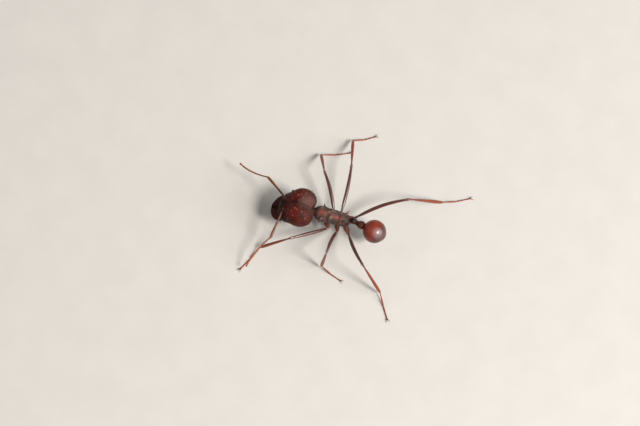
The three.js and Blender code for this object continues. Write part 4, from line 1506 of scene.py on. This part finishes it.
    def segment(self, name: str, shape: Shape, low: Triple, high: Triple, red: float) -> Surface:
        """Dress one waist segment.

        Args:
            name: the name of the solid that it stands for.
            shape: its shape.
            low: the lowest corner of a box round it.
            high: the box's highest corner.
            red: how red its shell is.

        Returns:
            Its surface.
        """
        surface = wrap(shape, low, high, self.waist_step)
        middle = surface.points.mean(0)
        ends = ramp(np.abs(surface.points[:, 0] - middle[0]), 0.35, 0.6)
        surface = surface.toned(glow=red * (1 - 0.4 * ends), seam=0.4 * ends, bald=ends)
        self.shop.shell(f"{name}_shell", surface, WAIST_SHELL, name)
        return surface


# --- Gaster ---


@dataclass
class Gaster:
    """The round hind body: one great first plate, and the rims of the smaller ones behind it."""

    shop: Workshop
    centre: Triple = (5.43, -0.79, 3.3)
    radii: Triple = (1.42, 1.42, 1.34)
    turn: float = -12.0
    edges: tuple[float, ...] = (0.92, 1.12, 1.27)
    rim: float = 0.014
    # The direction from the gaster's middle to where its painted sheen lies, in its own frame.
    painted_sheen_way: Triple = (0.53, -0.34, 0.78)
    step: float = 0.042

    def plain(self) -> Shape:
        """The gaster's main form, in its own frame with +X towards its tip."""
        return blend(0.35, Ball((0, 0, 0), self.radii), Ball((0.86, 0, -0.12), (0.5, 0.5, 0.46)))

    def shape(self) -> Shape:
        """The gaster with each plate lapping over the next, and the line between back and belly."""
        plain = self.plain()

        def value(points: Array) -> Array:
            """The value at each point."""
            x, _, z = np.moveaxis(points, -1, 0)
            total = plain(points)
            for edge in self.edges:
                past = x - edge + 0.1 * z
                total = total + self.rim * (ramp(past, -0.01, 0.02) - ramp(past, 0.03, 0.18))
            return total

        return scored(value, Groove(lambda x, y, z: z + 0.62 - 0.16 * x, 0.03, 0.025,
                                    lambda x, y, z: ramp(np.abs(y), 0.3, 0.6)))

    def build(self) -> Surface:
        """Build and dress the gaster, and give back its surface."""
        surface = wrap(self.shape(), (-1.6, -1.5, -1.45), (1.75, 1.5, 1.45), self.step)
        x, y, z = surface.points.T
        # Painted shade behind the rims between the plates and in the groove along each side.
        seam = 0.5 * np.clip(-self.plain()(surface.points) / 0.02, 0, 1)
        # Painted sheen: a pale grey patch fixed to the shell round one direction, where a highlight's sheen
        # falls, and a fainter one towards the tip.
        ways = surface.points / np.linalg.norm(surface.points, axis=-1, keepdims=True)
        away = np.linalg.norm(ways - np.array(self.painted_sheen_way), axis=-1)
        # Painted light and shade: red and lighter at the front, darker towards the tip, the belly and the
        # left side.
        glow = 0.95 - 0.75 * ramp(x, 0.1, 1.2) - 0.4 * ramp(-z, -0.3, 0.8) - 0.3 * ramp(-y, 0.6, 1.3)
        bloom = 0.6 * (1 - ramp(away, 0.25, 0.7)) + 0.18 * ramp(x, 0.5, 1.3) * ramp(away, 0.3, 0.75)
        skin = surface.toned(glow=glow, seam=seam, bloom=bloom, bald=0.5 * ramp(-x, 0.0, 1.0))
        skin = skin.placed(turned(self.turn), np.array(self.centre))
        self.shop.shell("gaster_shell", skin, GASTER_SHELL, "gaster", "gaster_tip")
        return skin


# --- Legs ---


@dataclass(frozen=True)
class LegSize:
    """Where a pair's coxae leave the thorax, and the lengths of its parts."""

    base: Triple
    coxa: float
    dip: float
    femur: float
    tibia: float
    tarsus: float


@dataclass(frozen=True)
class Stance:
    """The heading of each length of a leg in degrees, its knee's height and its femur's bow."""

    coxa: float
    femur: float
    knee: float
    tibia: float
    tarsus: float
    bow: float


@dataclass
class Leg:
    """One leg, from coxa to claws."""

    shop: Workshop
    pair: Pair
    side: Side
    size: LegSize
    stance: Stance
    middle_y: float
    ankle_height: float = 0.65
    femur_rise: float = 0.22
    foot_radius: float = 0.095
    toe_shares: tuple[float, ...] = (0.5, 0.15, 0.11, 0.09, 0.15)
    toe_radii: tuple[float, ...] = (1, 0.92, 0.86, 0.8, 0.9)
    neck_share: float = 0.07
    flatness: float = 0.92
    tibia_rise: float = 0.03
    comb_length: float = 0.5
    thorn_length: float = 0.3
    thorn_lean: float = 0.5
    spur_radius: float = 0.045
    claw_spread: float = 26
    claw_length: float = 0.5
    claw_radius: float = 0.05
    pad_length: float = 0.16
    coxa_radii: Stations = ((0, 0.3), (0.3, 0.36), (0.75, 0.28), (1, 0.2))
    trochanter_radii: Stations = ((0, 0.13), (0.5, 0.175), (1, 0.12))
    femur_radii: Stations = ((0, 0.12), (0.04, 0.16), (0.12, 0.205), (0.35, 0.235), (0.7, 0.21),
                             (0.92, 0.17), (0.97, 0.185), (1, 0.155))
    tibia_radii: Stations = ((0, 0.12), (0.03, 0.13), (0.08, 0.095), (0.2, 0.125), (0.6, 0.185),
                             (0.85, 0.2), (0.96, 0.17), (1, 0.12))

    @property
    def name(self) -> str:
        """The leg's name, such as front_right."""
        return f"{self.pair.value}_{self.side.word}"

    def end_at(self, start: Array, out: float, length: float, height: float) -> Array:
        """The far end of a straight length on a heading that ends at a given height."""
        run = math.sqrt(length**2 - (height - start[2]) ** 2)
        end = start + heading(self.side, out, 0) * run
        return np.array([end[0], end[1], height])

    def joints(self) -> tuple[Array, Array, Array, Array]:
        """The coxa's base, the hip, the knee and the ankle."""
        base = np.array(beside(self.size.base, self.side, self.middle_y))
        hip = base + heading(self.side, self.stance.coxa, self.size.dip) * self.size.coxa
        knee = self.end_at(hip, self.stance.femur, self.size.femur, self.stance.knee)
        ankle = self.end_at(knee, self.stance.tibia, self.size.tibia, self.ankle_height)
        return base, hip, knee, ankle

    def build(self) -> Surface:
        """Build and dress the leg, and give back the surface that its hairs grow on."""
        base, hip, knee, ankle = self.joints()
        level = np.zeros(3)
        arch = heading(self.side, self.stance.femur - 90, 0) * self.stance.bow + [0, 0, self.femur_rise]
        coxa = self.dress("coxa", [self.length_of(base, hip, self.coxa_radii, level)], THORAX_SHELL, 0.05)

        neck = hip + (knee - hip) * self.neck_share
        neck = neck + arch * math.sin(self.neck_share * math.pi)
        trochanter = self.length_of(hip, neck, self.trochanter_radii, level, 14)
        femur = self.length_of(neck, knee, self.femur_radii, arch * (1 - self.neck_share))
        femur = self.dress("femur", [trochanter, femur], LEG_SHELL, 0.3)

        tibia = self.length_of(knee, ankle, self.tibia_radii, np.array([0, 0, self.tibia_rise]))
        tibia = self.dress("tibia", [tibia, *self.spurs(knee, ankle)], FOOT_SHELL, 0.35)

        toes = self.foot_line(ankle)
        tarsus = Chain(14).build(self.shop, toes, np.array(self.toe_radii) * self.foot_radius, FOOT_SHELL)
        tarsus = self.dress("tarsus", [tarsus], FOOT_SHELL, 0.6)
        self.claws(toes[-1])
        return Surface.joined([coxa, femur, tibia, tarsus])

    def length_of(self, start: Array, end: Array, stations: Stations, bow: Array,
                  rings: int = 60) -> Surface:
        """One length of the leg.

        Args:
            start: where it starts.
            end: where it ends.
            stations: its half heights along it.
            bow: how far its middle is bowed out.
            rings: the number of rings of points along it.

        Returns:
            Its surface.
        """
        t = np.linspace(0, 1, rings)
        line = start + (end - start) * t[:, None] + bow * np.sin(np.pi * t)[:, None]
        radii = profile(stations, t)
        return sweep(line, radii * self.flatness, radii)

    def dress(self, part: str, surfaces: Sequence[Surface], finish: Cuticle, red: float) -> Surface:
        """Dress one part of the leg: redder to its far end, with a painted glint there, and dark at its
        start.

        Args:
            part: the part's name.
            surfaces: what it is made of, each with the tone `along`.
            finish: its finish.
            red: how red its shell is where it starts.

        Returns:
            Its surface.
        """
        whole = Surface.joined(surfaces)
        along = whole.tones["along"]
        low = ramp(-whole.points[:, 2], -0.16, -0.12)
        # Each part's far end is smoothed and, in finishes that pale it, painted with a glint; its start is
        # dark.
        whole = whole.toned(glow=red + 0.3 * along, seam=0.7 * np.exp(-((along / 0.05) ** 2)),
                            polish=ramp(along, 0.9, 0.95), bald=low)
        self.shop.shell(f"{self.name}_{part}_shell", whole, finish, f"{self.name}_{part}")
        return whole

    def spurs(self, knee: Array, ankle: Array) -> list[Surface]:
        """The spurs at the tibia's end: a curved comb on a front leg, two thorns on the others.

        Args:
            knee: where the tibia starts.
            ankle: where it ends.

        Returns:
            The spurs' surfaces.
        """
        ahead = (ankle - knee) / np.linalg.norm(ankle - knee)
        across = np.cross(ahead, (0, 0, 1))
        across /= np.linalg.norm(across)
        under = np.cross(across, ahead)
        combed = self.pair is Pair.FRONT
        long = self.comb_length if combed else self.thorn_length
        made = []
        for lean in ((0.0,) if combed else (-self.thorn_lean, self.thorn_lean)):
            t = np.linspace(0, 1, 14)[:, None]
            way = ahead * 0.8 - under * 0.45 + across * lean
            line = ankle - ahead * 0.16 + way * long * t + under * 0.12 * t**2
            made.append(sweep(line, self.spur_radius * (1 - 0.85 * t[:, 0]), sides=8))
        return made

    def foot_line(self, ankle: Array) -> Array:
        """The joints of the foot: it slopes down from the ankle and then lies along the floor."""
        places = np.concatenate([[0], np.cumsum(self.toe_shares)])
        line = ankle + heading(self.side, self.stance.tarsus, 0) * (places * self.size.tarsus)[:, None]
        level = self.foot_radius
        line[:, 2] = level + (self.ankle_height - level) * np.maximum(1 - places * 2, 0) ** 1.2
        return line

    def claws(self, tip: Array) -> None:
        """The two curved claws and the pad between them, at the foot's tip."""
        ahead = heading(self.side, self.stance.tarsus, 0)
        made = []
        for spread in (-self.claw_spread, self.claw_spread):
            t = np.linspace(0, 1, 20)[:, None]
            way = heading(self.side, self.stance.tarsus + spread, 0)
            line = tip - ahead * 0.04 + way * self.claw_length * t
            line[:, 2] += (0.16 * np.sin(np.pi * t) - 0.075 * t)[:, 0]
            made.append(sweep(line, self.claw_radius * (1 - 0.8 * t[:, 0] ** 1.3), sides=10))
        t = np.linspace(0, 1, 8)[:, None]
        made.append(sweep(tip + ahead * self.pad_length * t, self.claw_radius - 0.012 * t[:, 0], sides=10))
        self.shop.shell(f"{self.name}_claws", Surface.joined(made), CLAW_HORN, f"{self.name}_tarsus")


LEG_SIZES = {
    Pair.FRONT: LegSize((-0.7, 0.4, 2.7), 1.1, 36, 5.3, 4.75, 3.5),
    Pair.MIDDLE: LegSize((0.72, 0.45, 2.6), 0.9, 36, 6.1, 5.3, 2.8),
    Pair.HIND: LegSize((1.7, 0.42, 2.6), 1.15, 30, 7.1, 5.6, 3.4),
}
STANCES = {
    (Pair.FRONT, Side.RIGHT): Stance(143, 61, 3.72, 68.5, 156.5, -0.15),
    (Pair.FRONT, Side.LEFT): Stance(129, 40, 3.72, 12, 63, -0.12),
    (Pair.MIDDLE, Side.RIGHT): Stance(95, 87, 3.4, 77, 148.5, -0.14),
    (Pair.MIDDLE, Side.LEFT): Stance(112, 89.6, 5.88, -26, 159, 0.08),
    (Pair.HIND, Side.RIGHT): Stance(143, 152.3, 4.32, 146.7, 152, 0.27),
    (Pair.HIND, Side.LEFT): Stance(132, 121.6, 5.7, 164, 120, 0.2),
}
FEELER_POSES = {
    Side.RIGHT: FeelerPose(40, 9, 2, 42, 8, 30),
    Side.LEFT: FeelerPose(80, 18, 50, 72, 18, 30),
}


# --- Studio ---


@dataclass(frozen=True)
class Lamp:
    """A round soft light; its lengths are in metres and its power in watts.

    `toward` is its direction from the ant, along the camera's right, its up and back to it.
    """

    name: str
    toward: Triple
    distance: float
    size: float
    power: float
    colour: Triple


LAMPS = (
    Lamp("key", (0.52, -0.08, 0.85), 0.55, 0.14, 2.7, (1.0, 0.96, 0.9)),
    Lamp("sky", (0.76, -0.06, 0.64), 0.5, 0.34, 1.9, (0.98, 0.96, 0.96)),
    Lamp("fill", (-0.75, 0.35, 0.56), 0.9, 0.9, 0.7, (1.0, 0.97, 0.94)),
)
AIM_HEIGHT = 3.3  # of the point above the floor that the camera and the lamps aim at, in millimetres
ROOM_COLOUR = (0.92, 0.9, 0.88, 1)
ROOM_STRENGTH = 0.25


@dataclass
class Studio:
    """The pale floor, the soft lights and the camera."""

    aim: Vector
    azimuth: float = 15.4
    elevation: float = 65.0
    distance: float = 1.2
    view_width: float = 0.0768
    sensor: float = 36.0
    right_shift: float = -0.0015
    up_shift: float = 0.00022
    floor_radius: float = 1.5
    floor_middle: float = 0.01
    floor_rings: int = 12
    floor_sides: int = 96

    def axes(self) -> tuple[Vector, Vector, Vector]:
        """The camera's right, up and forward directions."""
        turn, lift = math.radians(self.azimuth), math.radians(self.elevation)
        level = math.cos(lift)
        forward = Vector((-math.sin(turn) * level, math.cos(turn) * level, -math.sin(lift)))
        right = Vector((math.cos(turn), math.sin(turn), 0))
        return right, right.cross(forward), forward

    def camera(self) -> None:
        """Set the camera up, looking down at the ant from its left rear."""
        right, up, forward = self.axes()
        data = bpy.data.cameras.new("camera")
        data.sensor_width = self.sensor
        data.lens = self.sensor * self.distance / self.view_width
        data.clip_start, data.clip_end = 0.01, 10
        camera = in_scene("camera", data)
        target = self.aim + right * self.right_shift + up * self.up_shift
        camera.location = target - forward * self.distance
        camera.rotation_euler = forward.to_track_quat("-Z", "Y").to_euler()
        bpy.context.scene.camera = camera

    def floor(self) -> None:
        """A wide pale card."""
        angle = np.arange(self.floor_sides) / self.floor_sides * 2 * np.pi
        radii = np.geomspace(self.floor_middle, self.floor_radius, self.floor_rings) * MM_PER_METRE
        across, along = np.outer(radii, np.cos(angle)), np.outer(radii, np.sin(angle))
        surface = close_rings(np.stack([across, along, np.zeros_like(across)], -1), (0, 0, 0))
        mesh = Workshop(np.zeros(3)).mesh("floor", surface)
        mesh.materials.append(FLOOR_CARD.material())
        in_scene("floor", mesh)

    def light(self, lamp: Lamp) -> None:
        """Hang a lamp."""
        right, up, forward = self.axes()
        way = (right * lamp.toward[0] + up * lamp.toward[1] - forward * lamp.toward[2]).normalized()
        data = bpy.data.lights.new(lamp.name, "AREA")
        data.shape = "DISK"
        data.size, data.energy, data.color = lamp.size, lamp.power, lamp.colour
        hung = in_scene(lamp.name, data)
        hung.location = self.aim + way * lamp.distance
        hung.rotation_euler = way.to_track_quat("Z", "Y").to_euler()
        hung.visible_camera = False

    def build(self) -> None:
        """Set up the whole studio."""
        self.camera()
        self.floor()
        for lamp in LAMPS:
            self.light(lamp)
        world = bpy.data.worlds.new("room")
        world.use_nodes = True
        Nodes(world.node_tree).fill(world.node_tree.nodes["Background"],
                                    {"Color": ROOM_COLOUR, "Strength": ROOM_STRENGTH})
        bpy.context.scene.world = world
        bpy.context.scene.view_settings.view_transform = "Standard"


# --- The whole ant ---


def own_origin() -> Array:
    """Where the ant's own origin lies in the frame, in millimetres, from its two eyes' solids."""
    head = Head(Workshop(np.zeros(3)))
    eyes = [np.mean(np.array(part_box(f"eye_{side.word}")), axis=0) for side in Side]
    x, z = head.eye_place
    return np.mean(eyes, axis=0) * MM_PER_METRE - head.to_ant((x, 0, z))


def main() -> None:
    """Build the ant and its studio."""
    logging.basicConfig(level=logging.INFO, format="%(name)s: %(message)s")
    shop = Workshop(own_origin())
    log.info("the ant's origin is at %s mm", np.round(shop.shift, 4))

    head = Head(shop)
    head_skin = head.build()
    trunk = Trunk(shop)
    thorax_skin, waist_skin = trunk.build()
    gaster_skin = Gaster(shop).build()
    feelers = {side: Feeler(shop, side, FEELER_POSES[side]).build(head) for side in Side}
    legs = {}
    for (pair, side), stance in STANCES.items():
        leg = Leg(shop, pair, side, LEG_SIZES[pair], stance, trunk.middle_y)
        legs[leg.name] = leg.build()

    Hair(0.13, 22, lean=0.5, lie=(0.8, 0, -0.2), seed=2).grow(shop, "head_hair", head_skin, RED_HAIR)
    Hair(0.12, 60, lean=0.7, seed=3).grow(shop, "thorax_hair", thorax_skin, PALE_HAIR)
    Hair(0.1, 50, lean=0.7, seed=4).grow(shop, "waist_hair", waist_skin, RED_HAIR)
    Hair(0.12, 14, lean=1.0, seed=5).grow(shop, "gaster_hair", gaster_skin, RED_HAIR)
    for side, skin in feelers.items():
        Hair(0.07, 80, 0.005, lean=1.0, lie=(-1, side.value, -0.2), gap=0.03, seed=6).grow(
            shop, f"{side.word}_feeler_hair", skin, PALE_HAIR)
    for name, skin in legs.items():
        Hair(0.09, 70, 0.0055, lean=0.8, lie=(0, 0, -1), gap=0.04, seed=7).grow(
            shop, f"{name}_leg_hair", skin, PALE_HAIR)

    centre = Vector((shop.shift + np.array([0, 0, AIM_HEIGHT])) / MM_PER_METRE)
    Studio(centre).build()


if __name__ == "__main__":
    main()
